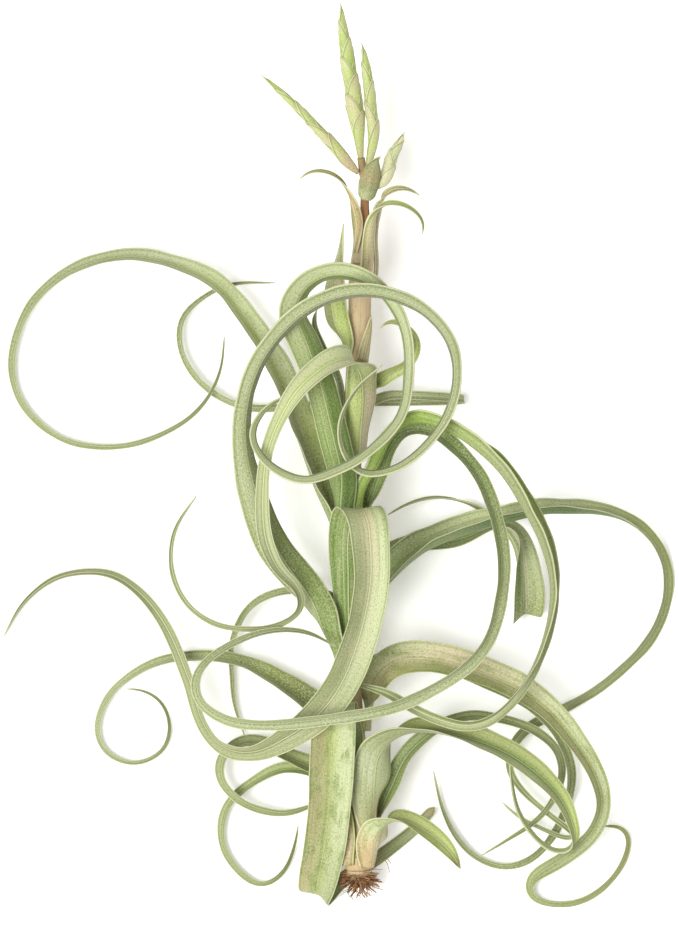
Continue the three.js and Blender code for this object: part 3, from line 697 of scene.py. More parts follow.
def tube(skin: Skin, points: Sequence[Sequence[float]], radii: Sequence[float], sides: int,
         spacing: float, tints: Sequence[Tint], ridge: float = 0.0, seed: int = 1) -> None:
    """Adds a round piece along a line to a skin.

    Args:
        skin: Where it goes.
        points: The points of the line, in millimetres.
        radii: Its radius at each point.
        sides: The number of sides.
        spacing: The distance between two rings.
        tints: Colours, evenly along it.
        ridge: The depth of its lengthwise ridges, as a share of the radius.
        seed: A number of its own for its ridges and pattern.
    """
    route = Route(points)
    shares, reached = route.steps(spacing)
    side, above = sides_of(route.along(shares))
    radius = np.interp(shares * route.spans, np.arange(len(radii)), radii)
    angle = np.arange(sides) / sides * 2 * math.pi
    wobble = sum(np.sin(number * angle[None, :] + twist * reached[:, None] + turn * seed)
                 for number, twist, turn in RIDGES)
    reach = radius[:, None] * (1 - ridge * (1 + wobble / len(RIDGES)))
    rings = lay(route.at(shares), side, above, -np.cos(angle) * reach, np.sin(angle) * reach)
    colour = blended(tints, np.linspace(0.0, 1.0, len(tints)), shares)
    around = np.broadcast_to(angle[None, :] * max(radii), reach.shape)
    skin.add(rings, np.broadcast_to(colour[:, None], rings.shape), patterned(around, reached, seed),
             np.zeros(rings.shape))


# ---------------------------------------------------------------- shaders

class Amount:
    """A number that varies over a surface: arithmetic on it adds Math nodes."""

    def __init__(self, sheet: "Sheet", socket: bpy.types.NodeSocket) -> None:
        """Wraps a socket of a sheet's node."""
        self.sheet = sheet
        self.socket = socket

    def _math(self, operation: str, *values: Link) -> "Amount":
        """Adds one Math node.

        Args:
            operation: The node's operation.
            values: What goes into its inputs.

        Returns:
            Its result.
        """
        inputs = dict(enumerate(values))
        node = self.sheet.add("ShaderNodeMath", {"operation": operation}, inputs)
        return Amount(self.sheet, node.outputs[0])

    def __add__(self, other: Link) -> "Amount":
        """This plus other."""
        return self._math("ADD", self, other)

    __radd__ = __add__

    def __sub__(self, other: Link) -> "Amount":
        """This minus other."""
        return self._math("SUBTRACT", self, other)

    def __rsub__(self, other: Link) -> "Amount":
        """Other minus this."""
        return self._math("SUBTRACT", other, self)

    def __mul__(self, other: Link) -> "Amount":
        """This times other."""
        return self._math("MULTIPLY", self, other)

    __rmul__ = __mul__

    def ramp(self, low: float, high: float) -> "Amount":
        """Rises smoothly from 0 at low to 1 at high."""
        node = self.sheet.add("ShaderNodeMapRange", {"interpolation_type": "SMOOTHSTEP"},
                              {"Value": self, "From Min": low, "From Max": high})
        return Amount(self.sheet, node.outputs[0])


class Sheet:
    """The nodes of one material."""

    def __init__(self, name: str) -> None:
        """Makes a material with one Principled shader.

        Args:
            name: The material's name.
        """
        self.material = bpy.data.materials.new(name)
        self.material.use_nodes = True
        self.tree = self.material.node_tree
        self.shader = self.tree.nodes["Principled BSDF"]

    def add(self, kind: str, settings: dict[str, object] | None = None,
            inputs: dict[str | int, Link] | None = None) -> bpy.types.Node:
        """Adds a node.

        Args:
            kind: The node's type.
            settings: Its settings, which are set first.
            inputs: Values or links of its sockets, by name or number.

        Returns:
            The node.
        """
        node = self.tree.nodes.new(kind)
        for name, value in (settings or {}).items():
            setattr(node, name, value)
        for socket, value in (inputs or {}).items():
            self.feed(node.inputs[socket], value)
        return node

    def feed(self, socket: bpy.types.NodeSocket, value: Link) -> None:
        """Sets a socket's own value, or links it.

        Args:
            socket: The input.
            value: A number, a colour, a socket or an Amount.
        """
        if isinstance(value, Amount):
            self.tree.links.new(value.socket, socket)
        elif isinstance(value, bpy.types.NodeSocket):
            self.tree.links.new(value, socket)
        else:
            socket.default_value = value

    def attribute(self, name: str) -> bpy.types.Node:
        """Reads a named attribute of the mesh."""
        return self.add("ShaderNodeAttribute", {"attribute_name": name})

    def scaled(self, vector: bpy.types.NodeSocket, scale: Point) -> bpy.types.NodeSocket:
        """Stretches a vector by a factor for each axis."""
        node = self.add("ShaderNodeVectorMath", {"operation": "MULTIPLY"}, {0: vector, 1: scale})
        return node.outputs[0]

    def noise(self, vector: bpy.types.NodeSocket, scale: Point, detail: float = 2.0,
              rough: float = 0.55) -> Amount:
        """Soft noise from about 0.2 to 0.8.

        Args:
            vector: Where on the surface.
            scale: How many lumps fit in one unit, for each axis.
            detail: How many finer layers it has.
            rough: How strong they are.

        Returns:
            The noise.
        """
        node = self.add("ShaderNodeTexNoise", {},
                        {"Vector": self.scaled(vector, scale), "Scale": 1.0, "Detail": detail,
                         "Roughness": rough})
        return Amount(self, node.outputs[0])

    def here(self) -> bpy.types.NodeSocket:
        """The place in space, in metres."""
        return self.add("ShaderNodeTexCoord").outputs["Object"]

    def blend(self, first: Link, second: Link, share: Link,
              mode: str = "MIX") -> bpy.types.NodeSocket:
        """Mixes two colours.

        Args:
            first: The colour at share 0.
            second: The colour at share 1.
            share: How much of the second.
            mode: How the second goes onto the first.

        Returns:
            The mixed colour.
        """
        settings = {"data_type": "RGBA", "blend_type": mode}
        node = self.add("ShaderNodeMix", settings, {0: share, 6: first, 7: second})
        return node.outputs[2]

    def finish(self, colour: Link, roughness: Link, height: Link | None, depth: float,
               constants: dict[str, float]) -> bpy.types.Material:
        """Connects the shader.

        Args:
            colour: Its base colour.
            roughness: Its roughness.
            height: The relief, from 0 to 1, or None.
            depth: How deep the relief is, in metres.
            constants: The shader's own values that are the same all over.

        Returns:
            The material.
        """
        self.feed(self.shader.inputs["Base Color"], colour)
        self.feed(self.shader.inputs["Roughness"], roughness)
        for name, value in constants.items():
            self.shader.inputs[name].default_value = value
        if height is not None:
            bump = self.add("ShaderNodeBump", {}, {"Height": height, "Distance": depth,
                                                   "Strength": 1.0})
            self.feed(self.shader.inputs["Normal"], bump.outputs[0])
        return self.material


def colour_of(tint: Tint) -> tuple[float, float, float, float]:
    """A tint as the four parts of a colour socket."""
    return (*tint.linear, 1.0)


@dataclass(frozen=True)
class LeafFinish:
    """Skin of a leaf: veins along it, a bloom of pale scales, clouds of a second colour, pale edges."""

    name: str
    frost: float = 0.5
    speckle: float = 0.9
    veins: float = 0.5
    cloud: Tint = Tint.LEAF_GREEN
    clouds: float = 0.3
    cloud_scale: tuple[float, float] = (0.16, 0.03)
    edge: Tint = Tint.CREAM
    edges: float = 0.62
    keel: float = 0.3
    fleck: Tint = Tint.BROWN
    flecks: float = 0.0
    roughness: float = 0.58
    relief: float = 0.00014

    # noise scales: on the flat skin, in lumps for each millimetre, and in space, for each metre
    BROAD, FINE, HAIR = (0.5, 0.006, 1.0), (1.7, 0.016, 1.0), (4.2, 0.05, 1.0)
    SCALES = (1.5, 0.9, 1.0)
    PATCHES, DOTS = (60.0, 60.0, 60.0), (620.0, 620.0, 620.0)
    # shares of the broad, fine and hair veins in the stripes, and of those and the scales in the relief
    STRIPE_MIX = (1.5, 1.3, 0.6)
    RELIEF_MIX = (0.5, 0.7, 0.3, 0.3)
    # stops, where each mark starts and is full
    CLOUD_STOPS, FLECK_STOPS = (0.48, 0.64), (0.64, 0.74)
    PALE_STOPS, DARK_STOPS = (0.0, 0.42), (0.0, 0.45)
    BLOOM_STOPS, PATCH_STOPS, WORN_STOPS = (0.5, 0.62), (0.3, 0.62), (0.36, 0.5)
    # the same in millimetres from the keel and from the margin: line, and shade beside it in and out
    KEEL_LINE, KEEL_IN, KEEL_OUT = (0.1, 0.36), (0.1, 0.4), (0.5, 1.2)
    RIM_LINE, RIM_IN, RIM_OUT = (0.25, 0.55), (0.35, 0.65), (0.8, 1.7)
    # strengths and the shade that dark marks multiply by
    VEIN_SHADE = (0.5, 0.6, 0.36, 1.0)
    PALE_VEINS, KEEL_GAIN, RIM_SHADE = 0.55, 1.3, 0.95
    BLOOM_GAIN, BLOOM_BASE = 0.7, 0.5
    BLOOM_ROUGH, VEIN_ROUGH = 0.25, 0.2

    def material(self) -> bpy.types.Material:
        """Builds the skin's nodes.

        Returns:
            The material.
        """
        sheet = Sheet(self.name)
        place = sheet.attribute("place").outputs["Vector"]
        broad, fine = sheet.noise(place, self.BROAD), sheet.noise(place, self.FINE)
        hair = sheet.noise(place, self.HAIR, 1.0)
        scales = sheet.noise(place, self.SCALES, 3.0, 0.8)
        cloud = sheet.noise(place, (*self.cloud_scale, 1.0), 4.0, 0.62)
        tint = sheet.attribute("tint").outputs["Color"]
        colour = sheet.blend(tint, colour_of(self.cloud), cloud.ramp(*self.CLOUD_STOPS) * self.clouds)
        of_broad, of_fine, of_hair = self.STRIPE_MIX
        stripes = (broad - 0.5) * of_broad + (fine - 0.5) * of_fine + (hair - 0.5) * of_hair
        colour = self._veined(sheet, colour, stripes)
        patches = sheet.noise(sheet.here(), self.PATCHES).ramp(*self.PATCH_STOPS)
        bloom = scales.ramp(*self.BLOOM_STOPS) * (patches * self.BLOOM_GAIN + self.BLOOM_BASE) * self.frost
        colour = sheet.blend(colour, colour_of(Tint.FROST), bloom)
        worn = (1 - scales.ramp(*self.WORN_STOPS)) * self.speckle
        colour = sheet.blend(colour, self.VEIN_SHADE, worn, "MULTIPLY")
        dots = sheet.noise(sheet.here(), self.DOTS, 1.0).ramp(*self.FLECK_STOPS)
        colour = sheet.blend(colour, colour_of(self.fleck), dots * self.flecks)
        colour = self._lined(sheet, colour)
        roughness = self.roughness + bloom * self.BLOOM_ROUGH + (fine - 0.5) * self.VEIN_ROUGH
        of_broad, of_fine, of_hair, of_scales = self.RELIEF_MIX
        height = fine * of_fine + hair * of_hair + broad * of_broad + scales * of_scales
        return sheet.finish(colour, roughness, height, self.relief,
                            {"Specular IOR Level": 0.35, "Sheen Weight": 0.08,
                             "Sheen Roughness": 0.5})

    def _veined(self, sheet: Sheet, colour: Link, stripes: Amount) -> Link:
        """Draws the pale and the dark veins.

        Args:
            sheet: The material's nodes.
            colour: The colour so far.
            stripes: Above 0 on a pale vein and below it on a dark one.

        Returns:
            The veined colour.
        """
        pale = stripes.ramp(*self.PALE_STOPS) * self.veins * self.PALE_VEINS
        dark = (stripes * -1.0).ramp(*self.DARK_STOPS) * self.veins
        colour = sheet.blend(colour, colour_of(Tint.CREAM_GREEN), pale)
        return sheet.blend(colour, self.VEIN_SHADE, dark, "MULTIPLY")

    def _lined(self, sheet: Sheet, colour: Link) -> Link:
        """Draws pale lines on the margins and on the keel, each with a darker line beside it.

        Args:
            sheet: The material's nodes.
            colour: The colour so far.

        Returns:
            The lined colour.
        """
        away = sheet.add("ShaderNodeSeparateXYZ", {}, {0: sheet.attribute("margin").outputs["Vector"]})
        rim, keel = Amount(sheet, away.outputs[0]), Amount(sheet, away.outputs[1])
        edge = colour_of(self.edge)
        beside = keel.ramp(*self.KEEL_IN) * (1 - keel.ramp(*self.KEEL_OUT)) * self.keel * self.KEEL_GAIN
        colour = sheet.blend(colour, self.VEIN_SHADE, beside, "MULTIPLY")
        line = (1 - keel.ramp(*self.KEEL_LINE)) * self.keel * self.KEEL_GAIN
        colour = sheet.blend(colour, edge, line)
        beside = rim.ramp(*self.RIM_IN) * (1 - rim.ramp(*self.RIM_OUT)) * self.edges * self.RIM_SHADE
        colour = sheet.blend(colour, self.VEIN_SHADE, beside, "MULTIPLY")
        return sheet.blend(colour, edge, (1 - rim.ramp(*self.RIM_LINE)) * self.edges)


@dataclass(frozen=True)
class BarkFinish:
    """Dry skin of the stem or of a root: streaks along it, darker patches and specks."""

    name: str
    dark: Tint
    streaks: float
    specks: float
    roughness: float
    relief: float

    STREAKS, FIBRES = (1.1, 0.06, 1.0), (4.5, 0.16, 1.0)
    PATCHES, SPECKS = (160.0, 90.0, 160.0), (900.0, 900.0, 900.0)
    STREAK_STOPS, FIBRE_STOPS = (0.5, 0.72), (0.55, 0.75)
    PATCH_STOPS, SPECK_STOPS = (0.58, 0.7), (0.62, 0.74)
    FIBRE_FROST, FIBRE_ROUGH = 0.22, 0.2
    FIBRE_RELIEF, SPECK_RELIEF = 0.6, 0.3

    def material(self) -> bpy.types.Material:
        """Builds the skin's nodes.

        Returns:
            The material.
        """
        sheet = Sheet(self.name)
        place = sheet.attribute("place").outputs["Vector"]
        tint = sheet.attribute("tint").outputs["Color"]
        here = sheet.here()
        streak = sheet.noise(place, self.STREAKS, 4.0, 0.65)
        fibre = sheet.noise(place, self.FIBRES)
        patch = sheet.noise(here, self.PATCHES, 4.0, 0.7)
        speck = sheet.noise(here, self.SPECKS)
        dark = streak.ramp(*self.STREAK_STOPS) * self.streaks + patch.ramp(*self.PATCH_STOPS) * self.specks
        colour = sheet.blend(tint, colour_of(self.dark), dark)
        pale = fibre.ramp(*self.FIBRE_STOPS) * self.FIBRE_FROST
        colour = sheet.blend(colour, colour_of(Tint.FROST), pale)
        dots = speck.ramp(*self.SPECK_STOPS) * self.specks
        colour = sheet.blend(colour, colour_of(self.dark), dots)
        roughness = self.roughness + (fibre - 0.5) * self.FIBRE_ROUGH
        height = streak + fibre * self.FIBRE_RELIEF + speck * self.SPECK_RELIEF
        return sheet.finish(colour, roughness, height, self.relief, {"Specular IOR Level": 0.25})


@dataclass(frozen=True)
class FloorFinish:
    """Plain pale paper that the plant lies on."""

    name: str = "pale_paper"
    shade: Colour = (0.93, 0.925, 0.915)
    grain: float = 0.985
    glow: float = 0.24

    GRAINS = (300.0, 300.0, 300.0)

    def material(self) -> bpy.types.Material:
        """Builds the paper's nodes.

        Returns:
            The material.
        """
        sheet = Sheet(self.name)
        tone = tuple(part * self.grain for part in self.shade)
        colour = sheet.blend((*self.shade, 1.0), (*tone, 1.0), sheet.noise(sheet.here(), self.GRAINS))
        return sheet.finish(colour, 0.9, None, 0.0,
                            {"Specular IOR Level": 0.1, "Emission Strength": self.glow})


FINISHES: dict[Slot, LeafFinish | BarkFinish] = {
    Slot.SAGE: LeafFinish("sage_leaf", frost=0.65, veins=0.65, clouds=0.35),
    Slot.GREEN: LeafFinish("green_leaf", frost=0.22, veins=0.7, clouds=0.3),
    Slot.BRIGHT: LeafFinish("bright_leaf", frost=0.2, veins=0.6, clouds=0.25, roughness=0.5),
    Slot.CREAM: LeafFinish("cream_leaf", frost=0.3, veins=0.7, cloud=Tint.PINK_CREAM, clouds=0.28,
                           fleck=Tint.TAN, flecks=0.4, keel=0.45),
    Slot.MOTTLED: LeafFinish("mottled_leaf", frost=0.4, veins=0.45, cloud=Tint.LEAF_GREEN,
                             clouds=0.85, cloud_scale=(0.17, 0.07), fleck=Tint.TAN, flecks=0.35,
                             keel=0.1),
    Slot.TAN: LeafFinish("tan_leaf", frost=0.45, veins=0.55, cloud=Tint.OLIVE, clouds=0.6,
                         cloud_scale=(0.2, 0.06), edge=Tint.PALE_LIME, fleck=Tint.BROWN,
                         flecks=0.3),
    Slot.OLIVE: LeafFinish("olive_leaf", frost=0.16, veins=0.55, cloud=Tint.LEAF_GREEN, clouds=0.4,
                           cloud_scale=(0.2, 0.06), fleck=Tint.BROWN, flecks=0.3),
    Slot.BRACT: LeafFinish("bract", frost=0.1, veins=0.4, cloud=Tint.PINK_CREAM, clouds=0.3,
                           edges=0.9, keel=0.15, roughness=0.48),
    Slot.STEM: BarkFinish("stem_skin", Tint.BROWN, 0.3, 0.35, 0.72, 0.0003),
    Slot.ROOT: BarkFinish("root_skin", Tint.DARK_BROWN, 0.4, 0.4, 0.85, 0.0002),
}


class Wardrobe:
    """Keeps one material for each finish, made when it is first asked for."""

    def __init__(self) -> None:
        """Starts with none made."""
        self.made: dict[str, bpy.types.Material] = {}

    def dress(self, piece: bpy.types.Object, slot: Slot,
              own: LeafFinish | BarkFinish | None = None) -> None:
        """Gives a piece the material of its slot or of its own finish, and its body.

        Args:
            piece: The piece.
            slot: The slot that it belongs to.
            own: A finish of its own, or None for the slot's.
        """
        finish = own or FINISHES[slot]
        if finish.name not in self.made:
            self.made[finish.name] = finish.material()
        piece.data.materials.append(self.made[finish.name])
        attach(piece, BODY)
        LOG.info("%s: %d faces, %s", piece.name, len(piece.data.polygons), finish.name)


# ---------------------------------------------------------------- leaves

class Part:
    """A piece of the plant: its class tells how it grows, its name, its slot and its own finish."""

    name: str
    slot: Slot
    finish: LeafFinish | BarkFinish | None = None

    ENDING = "skin"

    def grow(self, skin: Skin) -> None:
        """Adds all that the piece is made of to a skin."""
        raise NotImplementedError

    def build(self) -> bpy.types.Object:
        """Makes the piece's mesh.

        Returns:
            The new piece.
        """
        skin = Skin()
        self.grow(skin)
        return skin.piece(f"{self.name}_{self.ENDING}")

    def dress(self, piece: bpy.types.Object, wardrobe: Wardrobe) -> None:
        """Gives the piece its finish, and lets it stand for its CAD solid."""
        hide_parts(self.name)
        wardrobe.dress(piece, self.slot, self.finish)


@dataclass(frozen=True)
class Leaf(Part):
    """One leaf, or one leafy bract: its blade, and any small ones that grow with it."""

    name: str
    slot: Slot
    shades: tuple[Shade, ...]
    stations: tuple[Station, ...]
    fold: tuple[float, float] = Blade.fold
    thick: tuple[float, float] = Blade.thick
    extras: tuple[Blade, ...] = ()

    SEEDS = 89

    def grow(self, skin: Skin) -> None:
        """Adds the leaf's blades.

        Args:
            skin: Where they go.
        """
        seed = 1 + sum(ord(letter) for letter in self.name) % self.SEEDS
        Blade(self.shades, self.stations, self.fold, self.thick, seed=seed).grow(skin)
        for extra in self.extras:
            replace(extra, seed=seed + 1).grow(skin)


LEAVES: tuple[Leaf, ...] = (
    # The paler tints from station 2 to 6 are painted light: they lift the face that leans away from the
    # lamp.
    Leaf("leaf_great_left", Slot.SAGE, shaded(
        "0 LEAF_GREEN LEAF_GREEN FERN LEAF_GREEN", "2 SAGE SAGE LEAF_GREEN LEAF_GREEN",
        "3.2 SILVER_SAGE SILVER_SAGE PALE_LIME SAGE", "4 CREAM_GREEN PALE_LIME CREAM_GREEN SAGE",
        "6 CREAM_GREEN PALE_LIME CREAM_GREEN SAGE", "7.5 SILVER_SAGE SAGE SILVER_SAGE SAGE",
        "9 SAGE MOSS_SAGE SAGE SAGE", "14 SAGE MOSS_SAGE SAGE SAGE", "18 SHADE_SAGE"), (
        clasp(-52, 261, 12, 0.2), clasp(-38, 258, 12, 1.3), (-10, -14, 20.5, 16, 62),
        (-18.5, 12, 20, 18.5, 50), (-31, 42.5, 18, 17, 46), (-45, 66, 17, 13.6, 42),
        (-61.5, 86, 16, 11.5, 40), (-78.5, 94.5, 15, 9.8, 40), (-105, 100, 12, 8.4, 42),
        (-134.5, 92.5, 9, 7.2, 44), (-155.5, 73.5, 6, 6.2, 46), (-164, 46, 2.6, 5.8, 48),
        (-158.5, 25.5, 1.7, 5.2, 48), (-138, 8, 2.2, 4.4, 46), (-107.5, 5, 4, 4, 44),
        (-78.5, 16.5, 9, 3, 40), (-66, 29, 12, 2.4, 40), (-59.5, 43.5, 14, 1.8, 40),
        (-57.5, 59.5, 15, 0.9, 40))),
    Leaf("leaf_grand_curl", Slot.SAGE, shaded(
        "0 LEAF_GREEN FRESH_GREEN LEAF_GREEN LEAF_GREEN",
        "3 LEAF_GREEN FRESH_GREEN LEAF_GREEN LEAF_GREEN SAGE", "5 SAGE SAGE SAGE MOSS_SAGE SAGE",
        "8 SAGE MOSS_SAGE SAGE SHADE_SAGE SAGE", "11 SAGE SHADE_SAGE SAGE SHADE_SAGE SAGE",
        "17 SAGE SHADE_SAGE SAGE SHADE_SAGE SAGE",
        "22 SHADE_SAGE SAGE SHADE_SAGE SHADE_SAGE SHADE_SAGE"), (
        clasp(-112, 290, 11), clasp(-101, 292, 13, 1.2), (-5.5, -87, 31, 15, (0.8, 0.1, -0.6)),
        (-12, -73, 34.5, 16.5, (0.4, 0.2, -0.9)), (-32, -46, 39, 17, -170),
        (-42, -20.5, 45, 15.5, -160), (-47.5, 6, 50, 11.5, -150), (-46, 28, 55, 10.5, -144),
        (-38, 49, 61, 10, -142), (-18, 71, 70, 10, -140), (3, 80, 75, 9.5, -138), (21, 80, 77, 9, -138),
        (41, 72, 78, 8, -138), (55, 56, 77, 7, -138), (58, 38, 75, 6.4, -138), (53, 19, 72, 6, -138),
        (40, 2, 67, 5.4, -138), (26, -7, 63, 5, -138), (11, -8, 57, 4.4, -138), (2, 3, 55, 3.6, -138),
        (1, 17, 55, 2.8, -138), (9, 33, 56, 2, -138), (21.5, 44.5, 58, 0.9, -138))),
    Leaf("leaf_broad_arch", Slot.GREEN, shaded(
        "0 FRESH_GREEN DEEP_GREEN FRESH_GREEN FERN FRESH_GREEN",
        "3 FRESH_GREEN FRESH_GREEN LEAF_GREEN FRESH_GREEN LEAF_GREEN",
        "6 SAGE LEAF_GREEN SAGE LEAF_GREEN SAGE", "9 SAGE BLUE_SAGE SAGE LEAF_GREEN CREAM_GREEN",
        "13 SAGE BLUE_SAGE SAGE BLUE_SAGE SILVER_SAGE", "21 SAGE SAGE SAGE SAGE SAGE"), (
        clasp(-38, 333, 8.2), clasp(-26, 332, 11.2, 2), (1.5, -10, 37.5, 14.5, (0.1, 0.2, -1)),
        (-3, 10, 42, 15.5, 176), (-9.5, 36, 48, 15, 180), (-16.5, 55, 53, 15.5, -168),
        (-22.5, 71, 56, 15, -152), (-17.5, 83.5, 59, 12, -144), (-4, 90.5, 60, 11, -140),
        (14, 87, 61, 9.5, -138), (27, 74, 61, 8, -138), (33, 60, 61, 7.2, -138),
        (34, 38, 61, 6.8, -138), (30, 19, 63, 6.4, -138), (12, 0, 66, 6.2, -138),
        (-2, -7.5, 67, 6, -138), (-17, -12, 67, 5.6, -138), (-31, -7, 65, 5.4, -138),
        (-40, 2, 63, 5, -138), (-42.5, 12, 62, 4.4, -138), (-35, 24, 60, 3, -138),
        (-22, 31, 57, 0.9, -138))),
    Leaf("leaf_pale_fold", Slot.CREAM, shaded(
        "0 LEAF_GREEN LEAF_GREEN LEAF_GREEN PINK_CREAM YELLOW_SAGE",
        "2 LEAF_GREEN LEAF_GREEN LEAF_GREEN PINK_CREAM PALE_LIME",
        "3.4 CREAM_GREEN CREAM_GREEN CREAM_GREEN YELLOW_SAGE LEAF_GREEN",
        "5.5 CREAM CREAM_GREEN CREAM_GREEN CREAM_GREEN",
        "10 CREAM_GREEN PALE_LIME CREAM_GREEN CREAM_GREEN", "14 SILVER_SAGE SAGE SILVER_SAGE SILVER_SAGE",
        "19 SAGE MOSS_SAGE SAGE SILVER_SAGE", "23 SHADE_SAGE SAGE SHADE_SAGE SHADE_SAGE"), (
        clasp(-2, 28, 11.5), clasp(12, 24, 13.5, 0.8), (11.4, 28, 36.8, 15.5, (-0.2, 0.1, -1)),
        (11.2, 37, 40.5, 15, (-0.1, 0.3, -1)), (11, 43.6, 45, 14.5, (0.35, 0.8, -0.6)),
        (8.4, 47.8, 51, 13.5, (0.6, 0.85, 0.2)), (3.4, 48.6, 56.6, 13, (0.15, 0.7, 0.9)),
        (-3.6, 46.6, 60.8, 13, (-0.2, 0.3, 1)), (-11.4, 41.4, 63.6, 11.8, (-0.25, 0.25, 1)),
        (-21, 32, 64.5, 9.6, 12), (-30, 17, 61, 7.4, 14), (-36, 0, 57, 6.6, 16),
        (-38, -22, 54.5, 7, 12), (-36.5, -42, 52, 7.4, 0), (-30, -57, 50, 6.6, -20),
        (-21, -67, 47.5, 5.6, -40), (-19.5, -76, 44, 5, -50), (-27, -83, 39, 4.6, -50),
        (-40, -86.5, 32, 4.4, -50), (-61, -84.5, 28, 4.2, -48), (-76, -74, 25, 4, -46),
        (-83.5, -57, 23, 3.6, -44), (-82, -38, 22, 2.8, -44), (-71.5, -20.5, 22, 0.9, -44)),
        fold=(0.34, 0.16), extras=(Blade(shaded("0 PINK_CREAM", "3 PEACH"), (
            (12, 47, 33.6, 6.8, (-0.5, 0, -1)), (12.9, 52, 33.4, 6.2, (-0.5, 0, -1)),
            (14.2, 58.5, 32.8, 5, (-0.6, 0, -1)), (15.5, 64.5, 32, 3.4, (-0.7, 0, -1)),
            (16.3, 70, 31.2, 0.8, (-0.7, 0, -1))), fold=(0.2, 0.2), thick=(0.7, 0.5)),)),
    Leaf("leaf_bright_right", Slot.BRIGHT, shaded(
        "0 LIME", "5 LIME", "8 LIME PALE_LIME SAGE SAGE", "11 SAGE CREAM SAGE SAGE",
        "15 SAGE CREAM LEAF_GREEN SAGE", "20 SAGE"), (
        clasp(-30, 40, 7.6), clasp(-18, 47, 8, 1.4), (18.6, -4, 35.5, 8.6, (-0.5, 0.4, -0.8)),
        (24, 8, 42, 10.5, -120), (32, 16, 47, 12, -110, 0.3), (42.5, 18.5, 51, 13, -102, 0.36),
        (57, 13.5, 56, 13, -96, 0.42), (70.5, 4.5, 59, 12, -88, 0.5),
        (82, -6.5, 60, 11, -80, 0.56), (95, -27, 58, 10, -72, 0.6), (103, -44, 56, 9.5, -70, 0.6),
        (107, -62, 54, 8, -78, 0.5), (106, -80, 51, 7.6, -76, 0.44),
        (98.5, -104, 48, 7, -66, 0.36), (87, -122, 45, 6.6, -50), (74.5, -132.5, 44, 6.2, -38),
        (63, -135, 43.5, 5.8, -30), (50, -132, 43, 5.4, -16), (38, -127, 42.5, 5, 0),
        (24, -119, 40, 4.4, 10), (7, -114, 37, 1.4, 10))),
    Leaf("leaf_mid_right", Slot.SAGE, shaded(
        "0 LEAF_GREEN FRESH_GREEN LEAF_GREEN LEAF_GREEN",
        "7 LEAF_GREEN FRESH_GREEN LEAF_GREEN LEAF_GREEN", "11 SAGE LEAF_GREEN SAGE BLUE_SAGE",
        "14 SILVER_SAGE SAGE SAGE SAGE", "20 SAGE BLUE_SAGE SAGE SAGE", "25 SHADE_SAGE"), (
        clasp(-42, 108, 8.4), clasp(-30, 108, 9, 1.6), (19.8, -11, 28, 9.6, -20),
        (24.5, 3, 34, 10.5, -26), (30, 10.5, 37.5, 10.5, -32), (37, 13, 40.5, 10, -38),
        (45, 12, 43, 9.8, -42), (53.5, 7, 45, 9.6, -42), (69, -10, 51, 9.2, -42),
        (77, -29.5, 56, 9, -42), (81, -49, 60, 8.8, -42), (80.5, -67.5, 61, 8.4, -42),
        (74.5, -91, 61, 8, -42), (63.5, -105, 60, 8, -42), (47, -116, 58, 8, -42),
        (27, -125, 57.5, 8, -40), (-8, -131.5, 56, 7.6, -40), (-38.5, -134, 53, 7, -40),
        (-56, -131.5, 50, 6.8, -42), (-68.5, -123, 46, 6.6, -44), (-71, -112.5, 44, 6.2, -44),
        (-65, -102.5, 41, 5.2, -42), (-48, -92, 39, 4.4, -40), (-30.5, -87.5, 40, 3.6, -38),
        (-15, -89, 42, 2.6, -38), (-1, -96, 43.5, 0.9, -38))),
    Leaf("leaf_front_fold", Slot.CREAM, shaded(
        "0 LEAF_GREEN LEAF_GREEN LEAF_GREEN FRESH_GREEN",
        "3 LEAF_GREEN FRESH_GREEN FRESH_GREEN FRESH_GREEN",
        "4 CREAM_GREEN FRESH_GREEN FRESH_GREEN LEAF_GREEN", "6 CREAM_GREEN PINK_CREAM SAGE CREAM_GREEN",
        "9 CREAM_GREEN SILVER_SAGE SAGE CREAM", "12 SAGE", "14 SAGE MOSS_SAGE SAGE SAGE",
        "18 SAGE MOSS_SAGE SAGE SAGE", "23 SHADE_SAGE"), (
        clasp(-98, 356, 10.6), clasp(-84, 354, 12.6, 1.3), (4.5, -58, 37.5, 18, (0, 0.1, -1), 0.26),
        (4.5, -41, 42.5, 19.5, (0, 0.4, -1), 0.18), (7, -29, 49, 21, (0, 1, -0.4), 0.07),
        (10.5, -26.5, 56, 21, (0.1, 1, 0.4), 0.04), (14, -32, 62, 20, (0.1, 0.4, 1), 0.08),
        (15.6, -45, 65, 19, (0.1, 0.05, 1), 0.15), (16, -62, 64, 18, (0.2, 0, 1), 0.2),
        (12.8, -82, 59.5, 17.5, (0.25, 0, 1)), (8, -98, 55, 17.5, (0.2, 0.05, 1)),
        (1, -114.5, 50, 17, (0.15, 0.1, 1)), (-9, -128, 45, 16, (0.1, 0.1, 1)),
        (-24, -140, 38.5, 13, -14), (-44, -149, 29, 9.4, -34), (-59, -146, 24, 8.4, -44),
        (-68.5, -134, 21, 8, -44), (-74.5, -115, 19, 7.2, -34), (-88, -84, 15, 5.8, -8),
        (-102.5, -67, 12, 5, 20), (-117, -59.5, 9, 4.6, 36), (-141, -61.5, 4.6, 4, 44),
        (-158, -74, 2.2, 3, 44), (-168.5, -91, 1.4, 0.9, 44)), fold=(0.3, 0.16)),
    Leaf("leaf_front_hanging", Slot.MOTTLED, shaded(
        "0 LEAF_GREEN", "5 CREAM_GREEN PALE_LIME TAN CREAM_GREEN",
        "8 CREAM_GREEN YELLOW_SAGE TAN CREAM_GREEN", "11 SAGE YELLOW_SAGE TAN MOSS_SAGE",
        "12.5 MOSS_SAGE MOSS_SAGE MOSS_SAGE SHADE_SAGE", "17 MOSS_SAGE MOSS_SAGE MOSS_SAGE SAGE",
        "18 PINK_CREAM PINK_CREAM PINK_CREAM ROSE_TAN"), (
